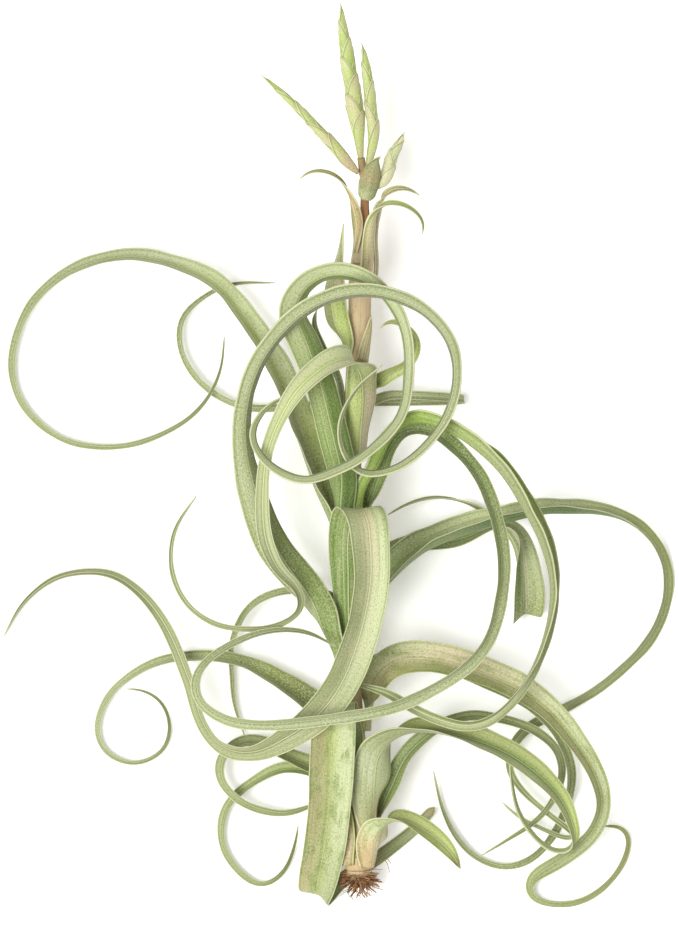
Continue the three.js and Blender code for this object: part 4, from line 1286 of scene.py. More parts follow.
        clasp(-150, 354, 8), clasp(-140, 352, 10.5, 1.2),
        (3.5, -131, 29.5, 13.5, (0.05, 0.25, -1), 0.24),
        (1.5, -124.5, 31.5, 16, (0.05, 0.9, -0.6), 0.08), (0, -122.8, 34.6, 18, (0.05, 1, 0.3), 0.04),
        (-1.5, -127, 36.8, 20, (0.1, 0.5, 1), 0.08), (-3, -140, 36.2, 22.5, (0.1, 0, 1), 0.2),
        (-4, -158, 34.5, 22.5, (0.1, -0.1, 1)), (-5, -176, 31, 21.5, (0.1, -0.1, 1)),
        (-7.5, -197.5, 24, 21, (0, -0.3, 1)), (-10.5, -213, 16.5, 19.5, (-0.1, -0.6, 0.8)),
        (-11.2, -221.5, 9, 16, (-0.3, -1, 0)), (-7, -221.5, 3.2, 10.5, (-0.4, -0.6, -0.9)),
        (0, -215, 1.2, 8, (0, 0, -1), 0.03), (8, -209.5, 0.3, 7.5, (0, 0, -1), 0),
        (18, -203.5, 0.3, 7.2, (0, 0, -1), 0), (27, -197, 0.3, 6.6, (0, 0, -1), 0),
        (38, -188, 1.6, 6, (0, 0, -1), 0.02), (48, -177, 4, 4.4, (0, 0, -1), 0.02)),
        fold=(0.3, 0.02), thick=(1.1, 0.9)),
    Leaf("leaf_left_curl", Slot.SAGE, shaded(
        "0 DARK_OLIVE DARK_OLIVE DARK_OLIVE LEAF_GREEN", "3 SILVER_SAGE OLIVE OLIVE SAGE",
        "6 SILVER_SAGE SAGE SAGE SAGE", "8 SILVER_SAGE SAGE SILVER_SAGE SAGE",
        "16 SHADE_SAGE MOSS_SAGE SHADE_SAGE SHADE_SAGE"), (
        clasp(-150, 254, 11), clasp(-142, 256, 12, 1.6), (-13, -125.5, 16, 15, 40),
        (-34.5, -111, 15, 12, 46), (-46.5, -105, 13, 9.5, 48), (-64.5, -101.5, 10, 8, 48),
        (-88, -103.5, 6.5, 6.6, 48), (-102.5, -110, 4.5, 5.8, 48), (-115, -121, 2.8, 5.2, 48),
        (-121, -137, 1.9, 4.8, 48), (-117, -148.5, 1.7, 4.2, 48), (-102.5, -154.5, 1.6, 3.4, 46),
        (-88.5, -147.5, 2.4, 3, 46), (-85.5, -135, 3.4, 2.6, 46), (-90, -124, 4.4, 2.2, 44),
        (-99, -118.5, 5.4, 1.6, 44), (-107, -117.5, 6, 0.9, 44))),
    Leaf("leaf_low_left", Slot.OLIVE, shaded(
        "0 OLIVE DARK_OLIVE OLIVE OLIVE", "4 SAGE OLIVE SAGE OLIVE", "12 SAGE"), (
        clasp(-170, 262, 10), clasp(-163, 260, 11, 1.6), (-14, -156, 15, 11, 40),
        (-28.5, -150, 14, 10, 48), (-40, -144.5, 13, 9.5, 52), (-50, -145, 12, 8.5, 52),
        (-58, -152, 11, 7, 48), (-59, -162, 10.5, 6, 44), (-50, -173, 10, 5.4, 42),
        (-38.5, -178, 9, 5, 42), (-26.5, -179.5, 8, 4.4, 42), (-15.5, -176.5, 7, 3, 42),
        (-10, -174.5, 6.6, 0.9, 42))),
    Leaf("leaf_bottom_left", Slot.BRIGHT, shaded(
        "0 PALE_LIME LIME PALE_LIME PALE_LIME", "5 SAGE LEAF_GREEN SAGE SAGE",
        "9 SAGE MOSS_SAGE SAGE SAGE", "12 SHADE_SAGE"), (
        clasp(-180, 232, 9), clasp(-172, 234, 9, 1.5), (-10, -160, 9, 8.5, 30),
        (-26.5, -157.5, 7, 7.5, 40), (-37, -161, 5.5, 6.8, 44), (-54, -174, 3, 6, 48),
        (-58.5, -185, 2.2, 5.8, 48), (-57, -199, 2, 5.2, 48), (-46.5, -212, 2, 4.8, 46),
        (-38, -215.5, 2, 4, 46), (-28, -209, 2.8, 3, 44), (-22.5, -196, 4, 2, 44),
        (-20.5, -186, 5, 0.9, 44))),
    Leaf("leaf_thin_left", Slot.SAGE, shaded(
        "0 SAGE LEAF_GREEN SAGE SAGE", "10 MOSS_SAGE SHADE_SAGE MOSS_SAGE SAGE"), (
        clasp(-80, 236, 7), clasp(-74, 240, 7, 1.6), (-16, -68.5, 16, 6, 36),
        (-26, -68.5, 15, 5.4, 44), (-37, -71.5, 13, 5, 44), (-45, -77, 11.5, 4.8, 44),
        (-51, -87, 9, 4.4, 44), (-54, -98.5, 5.6, 4, 44), (-53.5, -110, 3.6, 3.4, 40),
        (-52.5, -124, 3.4, 2.6, 40), (-47.5, -141, 4, 0.9, 40))),
    Leaf("leaf_back_straight", Slot.SAGE, shaded(
        "0 SILVER_SAGE SAGE SILVER_SAGE SAGE", "5 CREAM_GREEN SILVER_SAGE SAGE SAGE",
        "14 SAGE MOSS_SAGE SAGE SAGE", "19 SHADE_SAGE"), (
        clasp(15, 150, 6), clasp(22, 146, 5.6, 1.2), (23, 29.3, 13.5, 5, -16),
        (38, 29.8, 11.5, 4.8, -12), (54, 29, 8.6, 4.6, (0, 0.1, 1)),
        (61.5, 28.3, 7.2, 4.4, (0.5, 0.1, 1), 0.14), (63.8, 28, 4.6, 4.2, (1, 0, 0), 0.08),
        (60.5, 27.6, 2, 4.2, (0.4, 0, -1), 0.14), (48, 27, 1, 4.2, (0, 0.1, -1)),
        (20, 26.5, 1, 4.2, (0, 0.3, -1)), (-8, 26.5, 2.4, 4.6, (0, 0.8, -0.7)),
        (-26, 24.5, 4.4, 4.6, (0, -0.4, 1)), (-44, 24, 6, 4.6, -36), (-58, 28.5, 6.4, 4.4, -40),
        (-71, 38.5, 6, 4.2, -42), (-79, 53, 6, 4.2, -44), (-78.5, 68, 6, 4, -44),
        (-68, 79, 6, 3.4, -42), (-54, 85.5, 6.6, 2.6, -40), (-32, 86.5, 8.6, 0.9, -40))),
    Leaf("leaf_olive_hook", Slot.OLIVE, shaded(
        "0 YELLOW_SAGE OLIVE YELLOW_SAGE OLIVE", "4 PALE_LIME YELLOW_SAGE PALE_LIME OLIVE",
        "8 TAN HAZEL TAN TAN"), (
        clasp(24, 78, 8), clasp(32, 76, 8, 1.6), (25, 40.5, 32, 7.6, 20), (32, 44, 35, 7, 34),
        (37, 50.5, 38, 6.6, 44), (37.5, 58, 40, 6, 50), (31, 65, 40.5, 4.6, 48),
        (24.5, 66.5, 39.5, 3, 44), (20.5, 63.5, 38.5, 0.9, 44))),
    Leaf("leaf_stem_left", Slot.OLIVE, shaded(
        "0 OLIVE OLIVE OLIVE YELLOW_SAGE OLIVE", "2 OLIVE OLIVE OLIVE PALE_LIME YELLOW_SAGE",
        "3.2 OLIVE OLIVE OLIVE PALE_LIME TAN", "4.2 SAGE SAGE SAGE PINK_CREAM CREAM_GREEN",
        "7 SAGE SAGE SAGE CREAM_GREEN SAGE"), (
        clasp(50, 302, 6.5), clasp(57, 301, 10, 0.9), (-1, 66, 33.8, 12.4, (0.5, 0, -0.9)),
        (-2.8, 77, 35, 12.5, (0.5, 0, -0.9)), (-2.2, 87, 36, 10.5, (0.5, 0, -0.9)),
        (-0.4, 97, 36.5, 5.6, (0.7, 0, -0.7)), (1.4, 108, 36, 3, (0.8, 0, -0.5)),
        (2.2, 115.5, 35.5, 0.9, (0.8, 0, -0.5)))),
    Leaf("leaf_stem_dark", Slot.GREEN, shaded(
        "0 FROST", "2 FROST DEEP_GREEN FROST FROST", "3 FERN DEEP_GREEN FERN FERN",
        "6 SAGE LEAF_GREEN SAGE LEAF_GREEN"), (
        clasp(20, 300, 4.2), clasp(27, 300, 4.4, 0.9), (-0.6, 38.5, 32, 4, (0.5, 0.1, -0.9)),
        (-5.6, 49, 33.5, 4.4, -30), (-10, 59, 36.5, 3.8, -34), (-12.5, 67, 39, 3.2, -36),
        (-11, 72.5, 40.5, 0.9, -36))),
    # The cream-green upper band at stations 5 to 8 is partly the leaf's pale colour and partly painted
    # light on a foreshortened face in shade.
    Leaf("leaf_great_right", Slot.GREEN, shaded(
        "0 FRESH_GREEN DEEP_GREEN FRESH_GREEN FERN", "2 BLUE_SAGE DEEP_GREEN LEAF_GREEN LEAF_GREEN",
        "3.5 SAGE DARK_OLIVE LEAF_GREEN LEAF_GREEN", "5 CREAM_GREEN TAN LEAF_GREEN FERN",
        "8 CREAM_GREEN CREAM_GREEN FERN FERN", "11 YELLOW_SAGE CREAM_GREEN FRESH_GREEN FRESH_GREEN",
        "14 MOSS_SAGE MOSS_SAGE SAGE LEAF_GREEN", "29 SAGE SAGE SAGE SILVER_SAGE"), (
        clasp(-88, 114, 10), clasp(-78, 113, 11.6, 1.4), (24, -60, 24.5, 20, -56),
        (40, -46, 26, 18.5, -62, 0.4), (58.5, -37.5, 27, 16, -66, 0.46), (73, -33, 28, 14.5, -68, 0.5),
        (87.5, -29.5, 28, 13, -70, 0.5), (101.5, -26.5, 27, 12, -70, 0.5),
        (116, -26.5, 24.5, 11.5, -70, 0.48), (130, -27.5, 21, 10, -66, 0.42),
        (144.5, -32, 16, 8.4, -60, 0.34), (156.5, -41.5, 10, 7.8, -52), (163.5, -54, 5, 7.4, -46),
        (165, -67.5, 2.3, 7.2, -44), (161, -83, 1.9, 7.2, -44), (153.5, -95.5, 2.4, 7.4, -46),
        (141, -108, 3, 7.4, -50), (128.5, -118, 3.6, 7, -50), (112, -127.5, 5, 6.4, -40),
        (95.5, -136.5, 6.6, 5.6, -20), (87, -147, 8, 4.6, 0), (86, -158, 8.4, 4, 16),
        (92, -168, 9, 3.6, 24), (104, -179, 9.6, 3.2, 30), (114.5, -187.5, 9.8, 3, (0.2, 0.2, 1)),
        (118.6, -191.2, 8.5, 2.8, (0.9, -0.9, 0.2)), (115.5, -192.6, 6.8, 2.6, (0.1, -0.2, -1)),
        (105, -189, 6.6, 2.4, (-0.3, 0.4, -1)), (90, -181.5, 6.6, 1.8, (-0.2, 0.4, -1)),
        (81.5, -174, 6.8, 0.9, (-0.2, 0.4, -1)))),
    Leaf("leaf_tan_right", Slot.TAN, shaded(
        "0 TAN", "3 CREAM_GREEN PINK_CREAM TAN TAN", "6 PINK_CREAM PINK_CREAM YELLOW_SAGE TAN",
        "10 CREAM_GREEN YELLOW_SAGE TAN SAGE", "15 SAGE MOSS_SAGE SAGE SAGE", "20 SAGE OLIVE SAGE SAGE",
        "24 TAN PINK_CREAM TAN TAN", "26 YELLOW_SAGE SAGE YELLOW_SAGE SAGE"), (
        clasp(-138, 88, 10, 0.3), clasp(-128, 86, 11, 1.9), (17.5, -114, 25.5, 13, -4),
        (23.5, -106, 27.5, 15.5, -8), (32, -102, 29, 16.5, -12), (44, -101.5, 29.5, 16, -16),
        (56, -103.5, 29.5, 15.5, -18), (74.5, -109.5, 29, 15, -20), (91.5, -117.5, 28, 14.5, -22),
        (106, -128.5, 27, 12.5, -24), (117, -141.5, 25, 11.5, -26), (126, -155, 23, 10, -28),
        (131.3, -168.5, 21, 9, -30), (131.5, -179, 19, 8.4, -30), (126.5, -190, 16.5, 8, -28),
        (116.5, -199.5, 13, 7.6, -20), (105.5, -207, 8.6, 7, 0), (98, -212.5, 5, 6.4, 34),
        (96, -218, 3, 6, 58), (99.5, -223, 2.2, 5.8, 60), (110.5, -225.5, 1.8, 5.6, 58),
        (122.5, -223.5, 1.8, 5.4, 56), (134.5, -215.5, 2, 5, 54), (143, -203.5, 2.2, 4.4, 50),
        (145, -192, 3, 3.6, 48), (141.5, -187.5, 4, 3, 46), (132.5, -186.5, 5, 1, 46))),
    Leaf("leaf_low_arch", Slot.BRIGHT, shaded(
        "0 TAN TAN TAN PEACH TAN", "2 LEAF_GREEN OLIVE SAGE CREAM_GREEN SILVER_SAGE",
        "4 OLIVE FERN LEAF_GREEN SILVER_SAGE SAGE", "6 YELLOW_SAGE DARK_OLIVE SILVER_SAGE SAGE SAGE",
        "9 YELLOW_SAGE FRESH_GREEN CREAM_GREEN SAGE", "12 PALE_LIME LEAF_GREEN YELLOW_SAGE SAGE",
        "19 SAGE"), (
        clasp(-188, 42, 11), clasp(-177, 40, 16, 0.8), (17, -161, 28.5, 19.5, (-0.25, 0.1, -1)),
        (18.6, -149.5, 31, 18, (-0.3, 0.5, -0.9)), (24.5, -141, 34.5, 16, (-0.35, 0.9, -0.25)),
        (34.5, -136.6, 36.5, 15, (-0.1, 0.97, 0.2)), (47, -136.2, 37.2, 14.5, (0, 0.9, 0.45)),
        (61, -139.2, 37, 14, -50), (76, -144.5, 36, 13, -36), (90, -152, 33.5, 12.5, -28),
        (104.5, -164, 30, 11, -28), (113, -175, 27, 8.5, -26), (117.5, -187, 24, 5.6, -16),
        (118, -193, 21, 5, (0.6, -0.8, 0.3)), (115, -197.5, 19.2, 4.4, (0.4, -0.8, -0.5)),
        (107, -197.5, 18.5, 4.2, (-0.2, -0.8, -0.6)), (97.5, -190, 18, 4, (-0.6, -0.5, -0.6)),
        (90, -178, 17.6, 3.6, (-0.8, -0.3, -0.6)), (86.8, -164, 17.4, 2.6, (-0.9, 0, -0.6)),
        (85.5, -153.5, 17.4, 0.9, (-0.9, 0, -0.6))), fold=(0.34, 0.22)),
    Leaf("leaf_low_thin", Slot.GREEN, shaded(
        "0 LEAF_GREEN DEEP_GREEN LEAF_GREEN LEAF_GREEN", "7 SAGE LEAF_GREEN SAGE SAGE", "14 SAGE"), (
        clasp(-192, 130, 8), clasp(-182, 122, 8.6, 2.2), (27, -164, 19, 9, -20),
        (32.5, -152, 20, 9, -30), (42, -142, 20.5, 8.4, -36), (54, -134.5, 21, 7.4, -42),
        (66, -131, 21, 6.6, -44), (82.5, -133, 20, 6.2, -44), (97, -138, 18.5, 6, -44),
        (108, -147, 16.6, 5.8, -44), (111.5, -158, 14.6, 5.4, -44), (108, -171, 13.4, 4.6, -42),
        (99, -183, 12.2, 3.6, -40), (86, -192, 11, 2.4, -40), (71.5, -201, 10, 0.9, -40))),
    Leaf("leaf_low_sickle", Slot.SAGE, shaded(
        "0 SAGE LEAF_GREEN SAGE SAGE", "10 SAGE LEAF_GREEN SAGE SAGE",
        "15 SHADE_SAGE MOSS_SAGE SHADE_SAGE SHADE_SAGE"), (
        clasp(-114, 134, 8), clasp(-108, 130, 8, 1.6), (30, -101, 15, 7.4, -10),
        (50, -105, 16, 7, -20), (74.5, -115, 16.5, 6.8, -30), (97, -127, 15, 6.6, -36),
        (109, -140, 12.5, 6.4, -42), (116, -157, 9.4, 6.2, -44), (115, -172, 5.6, 6, -44),
        (109, -188, 1.8, 5.6, -44), (98, -201.5, 1.5, 5.2, -44), (85, -206.5, 1.5, 4.6, -44),
        (71, -203, 1.6, 4.2, -44), (60, -193, 2, 3.6, -44), (52.5, -178.5, 3, 2.6, -44),
        (47.5, -159, 4.6, 0.9, -44))),
    Leaf("leaf_basal_right", Slot.OLIVE, shaded(
        "0 PEACH", "1.5 TAN OLIVE TAN PINK_CREAM PEACH",
        "3 YELLOW_SAGE OLIVE YELLOW_SAGE PINK_CREAM CREAM_GREEN",
        "5 YELLOW_SAGE YELLOW_SAGE PALE_LIME YELLOW_SAGE",
        "8 PALE_LIME YELLOW_SAGE PALE_LIME YELLOW_SAGE", "9 BROWN"), (
        clasp(-206.5, 44, 10), clasp(-200, 40, 14, 0.8), (17.2, -192.5, 28.6, 16, (-0.3, 0.15, -1)),
        (19.4, -186.4, 31, 14.5, (-0.3, 0.7, -0.7)), (23.8, -182.4, 33.4, 12.6, (-0.3, 0.95, 0)),
        (30, -181, 34.2, 11.4, (-0.1, 0.9, 0.4)), (38, -184.4, 33.5, 10.6, -40),
        (47.5, -190.5, 31, 9.6, -24), (56, -199, 28, 6.6, -16), (61, -207.5, 26, 1, -10)),
        fold=(0.34, 0.24)),
    Leaf("leaf_basal_left", Slot.TAN, shaded(
        "0 PEACH PEACH PEACH ROSE_TAN PEACH", "2 TAN TAN TAN STEM_TAN STEM_TAN",
        "4 TAN TAN TAN OLIVE YELLOW_SAGE"), (
        clasp(-205.5, 302, 10.5), clasp(-199, 302, 13.4, 0.3), clasp(-190, 304, 14, 1),
        clasp(-182, 306, 11.6, 1.8), clasp(-175, 306, 7, 1.8), clasp(-167.5, 306, 1.6, 1.6))),
    Leaf("leaf_back_hanging", Slot.SAGE, shaded(
        "0 SAGE LEAF_GREEN SAGE SAGE", "5 SAGE OLIVE FRESH_GREEN SAGE", "7 CREAM_GREEN CREAM FERN SAGE",
        "9 YELLOW_SAGE MOSS_SAGE LEAF_GREEN PINK_CREAM", "12 CREAM_GREEN TAN MOSS_SAGE SAGE",
        "19 SAGE"), (
        clasp(-70, 184, 9), clasp(-62, 180, 9, 1.8), (32, -46, 12, 9.5, -10), (60, -42, 12, 9.6, -24),
        (77, -35.5, 13, 9, (-0.1, 0.7, 0.7)), (87, -36, 14.5, 9, (0.5, 0.8, 0.4)),
        (92.4, -43.5, 16, 11, (0.8, 0.2, 0.6)), (93.6, -54.5, 16.8, 14.4, (0.55, 0, 0.85)),
        (94.6, -67.5, 15.8, 16.6, (0.45, -0.1, 0.9)), (94.4, -78, 13.2, 16.4, (0.35, -0.5, 0.8)),
        (93.8, -82.4, 9.6, 15, (0.2, -1, 0.1)), (93, -79.6, 6, 10.5, (0.1, -0.6, -1)),
        (92.4, -70, 4.4, 6.4, (0.1, 0, -1)), (91.6, -56, 3.6, 4.8, (0.3, 0, -1)),
        (87, -41.5, 3.6, 4.2, (0.5, 0.2, -1)), (72.5, -28.5, 5.4, 3.8, (0.3, 0.8, -0.9)),
        (60.5, -22.8, 7, 3.4, (0.1, 1, 0)), (47, -21.5, 8.4, 2.8, (0, 1, 0.6)), (35, -24.5, 9.4, 2, 40),
        (24.5, -30, 10, 0.9, 40))),
    Leaf("bract_leaf_left", Slot.OLIVE, shaded(
        "0 HAZEL HAZEL HAZEL ROSE_TAN HAZEL", "3 TAN PEACH HAZEL PEACH HAZEL",
        "5 HAZEL PEACH OLIVE HAZEL OLIVE", "9 SAGE TAN HAZEL HAZEL"), (
        clasp(101, 324, 3), clasp(107, 324, 4.2, 0.5), (8.9, 116.5, 34.6, 6.1, (0.25, 0.2, -1)),
        (7.4, 124, 35.6, 5, (0.5, 0.4, -0.8)), (4.4, 132.4, 36.4, 3.6, (0.6, 0.9, 0)),
        (0.5, 137.6, 36.8, 2.8, (0.3, 0.9, 0.5)), (-4.8, 140.8, 37, 2.5, 30),
        (-10.5, 141.8, 37, 2.3, 36), (-15.8, 140.8, 36.6, 1.9, 40), (-20, 137.6, 36, 0.9, 40))),
    Leaf("bract_leaf_right_low", Slot.BRACT, shaded(
        "0 PEACH PEACH PEACH PEACH STEM_TAN", "3 PINK_CREAM PALE_LIME PALE_LIME PINK_CREAM TAN",
        "6 PALE_LIME TAN PALE_LIME YELLOW_SAGE", "11 SAGE OLIVE SAGE OLIVE"), (
        clasp(88, 26, 7), clasp(97, 28, 7.2, 0.5), (15, 107.5, 35, 6.5, (-0.2, 0.1, -1)),
        (16.2, 115.5, 35.6, 6, (-0.4, 0.3, -0.9)), (18.2, 121.2, 36.2, 5, (-0.5, 0.8, -0.3)),
        (21.4, 124.6, 36.8, 4, (-0.3, 0.9, 0.4)), (26, 125.8, 37, 3.4, -30), (31.5, 125, 37, 3, -36),
        (37, 122.2, 36.6, 2.6, -40), (41, 117.8, 36.2, 2.3, -42), (42.6, 114, 35.8, 1.8, -42),
        (41.6, 110.4, 35.4, 0.9, -42))),
    Leaf("bract_leaf_right_high", Slot.SAGE, shaded(
        "0 ROSE_TAN", "5 PINK_CREAM PEACH PINK_CREAM PINK_CREAM", "9 HAZEL TAN HAZEL HAZEL"), (
        clasp(86, 93, 4.6), clasp(97, 92, 5.4, 0.5), clasp(108, 90, 5, 0.8),
        (18.9, 116.5, 29.8, 5.4, (-0.9, 0.1, -0.6)), (19.8, 122.6, 30.8, 6, (-0.5, 0.3, -0.9)),
        (21.8, 128.8, 32, 5, (-0.4, 0.8, 0.3)), (25.6, 132, 33, 3.8, -20), (30.5, 133.3, 33, 3, -30),
        (35.5, 132.6, 32.4, 2.3, -36), (40.2, 129.8, 31.4, 0.9, -40))),
)


# ---------------------------------------------------------------- stem, spikes and roots

@dataclass(frozen=True)
class Stem(Part):
    """The bare stem, from its foot to the flower spikes."""

    name: str = "stem"
    slot: Slot = Slot.STEM
    sides: int = 36
    spacing: float = 1.6
    ridge: float = 0.035
    tints: tuple[Tint, ...] = (
        Tint.PEACH, Tint.PEACH, Tint.STEM_TAN, Tint.STEM_TAN, Tint.STEM_TAN, Tint.STEM_TAN,
        Tint.STEM_TAN, Tint.STEM_TAN, Tint.PEACH, Tint.STEM_TAN, Tint.STEM_PINK, Tint.PINK_CREAM,
        Tint.STEM_TAN, Tint.UMBER, Tint.UMBER, Tint.UMBER, Tint.HAZEL)

    nodes: tuple[float, ...] = (-204.5, -201.5, -196, 92, 95.5, 140.5)
    node_length: float = 0.5
    node_swell: float = 0.16
    node_inset: float = 0.3

    def grow(self, skin: Skin) -> None:
        """Adds the stem and the rings at its nodes.

        Args:
            skin: Where they go.
        """
        points = [ring[:3] for ring in STEM_RINGS]
        radii = [ring[3] for ring in STEM_RINGS]
        tube(skin, points, radii, self.sides, self.spacing, self.tints, self.ridge)
        for i, y in enumerate(self.nodes):
            x, z, radius = stem_at(y)
            low, swollen = radius - self.node_inset, radius + self.node_swell
            rings = [low, swollen, swollen, low]
            line = [(x, y + self.node_length * (k - (len(rings) - 1) / 2), z) for k in range(len(rings))]
            tube(skin, line, rings, self.sides, self.node_length, (Tint.HAZEL, Tint.UMBER),
                 self.ridge, i + 2)


class Axis:
    """A line with a girth: where the middle of a spike runs, and how far its outside is from it."""

    SPACING = 0.5

    def __init__(self, points: Sequence[Point], girth: Sequence[tuple[float, float]]) -> None:
        """Measures the line.

        Args:
            points: The points that it passes through.
            girth: Radii, each at a share of the line's length.
        """
        self.route = Route(points)
        self.shares, lengths = self.route.steps(self.SPACING)
        self.length = float(lengths[-1])
        self.girth = np.array(girth, float)

    def at(self, reached: Array) -> tuple[Array, Array, Array, Array]:
        """Finds places along the line.

        Args:
            reached: Shares of its length.

        Returns:
            The points, the directions to the right and upwards, and the radii.
        """
        places = np.interp(reached, np.linspace(0.0, 1.0, len(self.shares)), self.shares)
        side, above = sides_of(self.route.along(places))
        radius = np.interp(reached, self.girth[:, 0], self.girth[:, 1])
        return self.route.at(places), side, above, radius


@dataclass(frozen=True)
class Wrapper:
    """A pointed bract that wraps an axis: its margins run from the far side up to its tip."""

    axis: Axis
    start: float
    stop: float
    azimuth: float
    shades: tuple[Tint, ...]
    wrap: float = 142.0
    nest: float = 0.3
    flat: float = 0.86
    thick: float = 0.16
    keel: float = 0.07
    flare: float = 0.45
    rings: int = 22
    seed: int = 1

    ACROSS = np.array([-1, -0.95, -0.88, -0.74, -0.56, -0.38, -0.2, -0.08, 0.0,
                       0.08, 0.2, 0.38, 0.56, 0.74, 0.88, 0.95, 1])
    RING_EASE = 0.9
    POINT = (0.0016, 0.8)  # least share of the wrap, at the tip, and how fast it narrows to that
    BULGE = 0.12
    FLARE_BAND = (0.8, 0.2)  # where the tip starts to stand off, and over what length
    KEEL_DEGREES = 14
    LEAST_REACH = 0.05

    def grow(self, skin: Skin) -> None:
        """Adds the bract's rings to a skin.

        Args:
            skin: Where they go.
        """
        v = np.linspace(0.0, 1.0, self.rings) ** self.RING_EASE
        centre, side, above, radius = self.axis.at(self.start + (self.stop - self.start) * v)
        least, power = self.POINT
        spread = np.radians(self.wrap) * np.maximum(1 - v ** 2, least) ** power
        u = self.ACROSS[None, :]
        turn = math.radians(self.azimuth) + u * spread[:, None]
        reach = radius * (1 - self.nest * (1 - v)) + self.BULGE * np.sin(math.pi * v)
        start, band = self.FLARE_BAND
        reach = reach + self.flare * np.clip((v - start) / band, 0.0, 1.0) ** 2
        ridge = 1 + self.keel * np.exp(-(np.degrees(u * spread[:, None]) / self.KEEL_DEGREES) ** 2)
        outer = reach[:, None] * ridge
        inner = np.maximum(outer - self.thick, self.LEAST_REACH)
        rings = both_faces(*(lay(centre, side, above, np.sin(turn) * away, np.cos(turn) * away * self.flat)
                             for away in (outer, inner)))
        colour = blended(self.shades, np.linspace(0.0, 1.0, len(self.shades)), v)
        relative = np.broadcast_to(u, turn.shape)
        wide = float(radius.max()) * 2
        across = both_faces(relative * wide, relative * wide + PATTERN_GAP * wide)
        length = (self.stop - self.start) * self.axis.length
        skin.add(rings, np.broadcast_to(colour[:, None], rings.shape),
                 patterned(across, v * length, self.seed), margins_of(relative, spread * reach))


@dataclass(frozen=True)
class Spike(Part):
    """A flower spike: a thin axis with pointed bracts that wrap it, and one another, like tiles."""

    name: str
    axis: tuple[Point, ...]
    girth: tuple[tuple[float, float], ...]
    count: int
    first: float
    last: float
    low_tints: tuple[Tint, ...] = (Tint.TAN, Tint.PALE_LIME, Tint.PINK_CREAM)
    tints: tuple[Tint, ...] = (Tint.PALE_LIME, Tint.LIME, Tint.PALE_LIME, Tint.CREAM)
    low_share: float = 0.4
    core: float = 0.62
    slot: Slot = Slot.BRACT

    ENDING = "bracts"
    AZIMUTHS = (46.0, -134.0, -50.0, 130.0)
    CORE_END = 0.93
    CORE_POINTS = 9
    CORE_SIDES = 12
    CORE_SPACING = 1.2

    def grow(self, skin: Skin) -> None:
        """Adds the spike's core and its bracts, from below.

        Args:
            skin: Where they go.
        """
        axis = Axis(self.axis, self.girth)
        points, _, _, radii = axis.at(np.linspace(0.0, self.CORE_END, self.CORE_POINTS))
        tube(skin, points, radii * self.core, self.CORE_SIDES, self.CORE_SPACING,
             (Tint.STEM_TAN, Tint.PALE_LIME))
        for i in range(self.count):
            share = i / (self.count - 1)
            start = share * (1 - self.last)
            stop = self.first + (1 - self.first) * share
            tints = self.low_tints if share < self.low_share else self.tints
            azimuth = self.AZIMUTHS[i % len(self.AZIMUTHS)]
            Wrapper(axis, start, stop, azimuth, tints, seed=i + 1).grow(skin)


@dataclass(frozen=True)
class Pouch(Part):
    """The dark bract in front of the spikes, which bulges out from the stem and hooks at its tip."""

    name: str = "bract_front_dark"
    slot: Slot = Slot.GREEN
    axis: tuple[Point, ...] = ((13.4, 127.6, 30.4), (14.6, 134, 31.4), (16.6, 142, 33),
                               (19, 147.5, 35), (21.6, 149.9, 36.4))
    girth: tuple[tuple[float, float], ...] = ((0, 2.7), (0.08, 4.3), (0.3, 5.2), (0.55, 4.9),
                                              (0.78, 3.2), (0.92, 1.6), (1, 0.25))
    azimuth: float = 4.0
    wrap: float = 118.0
    thick: float = 0.5
    rings: int = 30
    finish: LeafFinish = LeafFinish("pouch_skin", frost=0.3, veins=0.35, cloud=Tint.HAZEL,
                                    clouds=0.5, cloud_scale=(0.5, 0.2), edge=Tint.CREAM, edges=0.9,
                                    keel=0.0)
    tints: tuple[Tint, ...] = (Tint.CREAM_GREEN, Tint.MOSS_SAGE, Tint.HAZEL, Tint.MOSS_SAGE, Tint.HAZEL)

    def grow(self, skin: Skin) -> None:
        """Adds the bract.

        Args:
            skin: Where it goes.
        """
        axis = Axis(self.axis, self.girth)
        Wrapper(axis, 0.0, 1.0, self.azimuth, self.tints, wrap=self.wrap, nest=0.0,
                thick=self.thick, rings=self.rings).grow(skin)


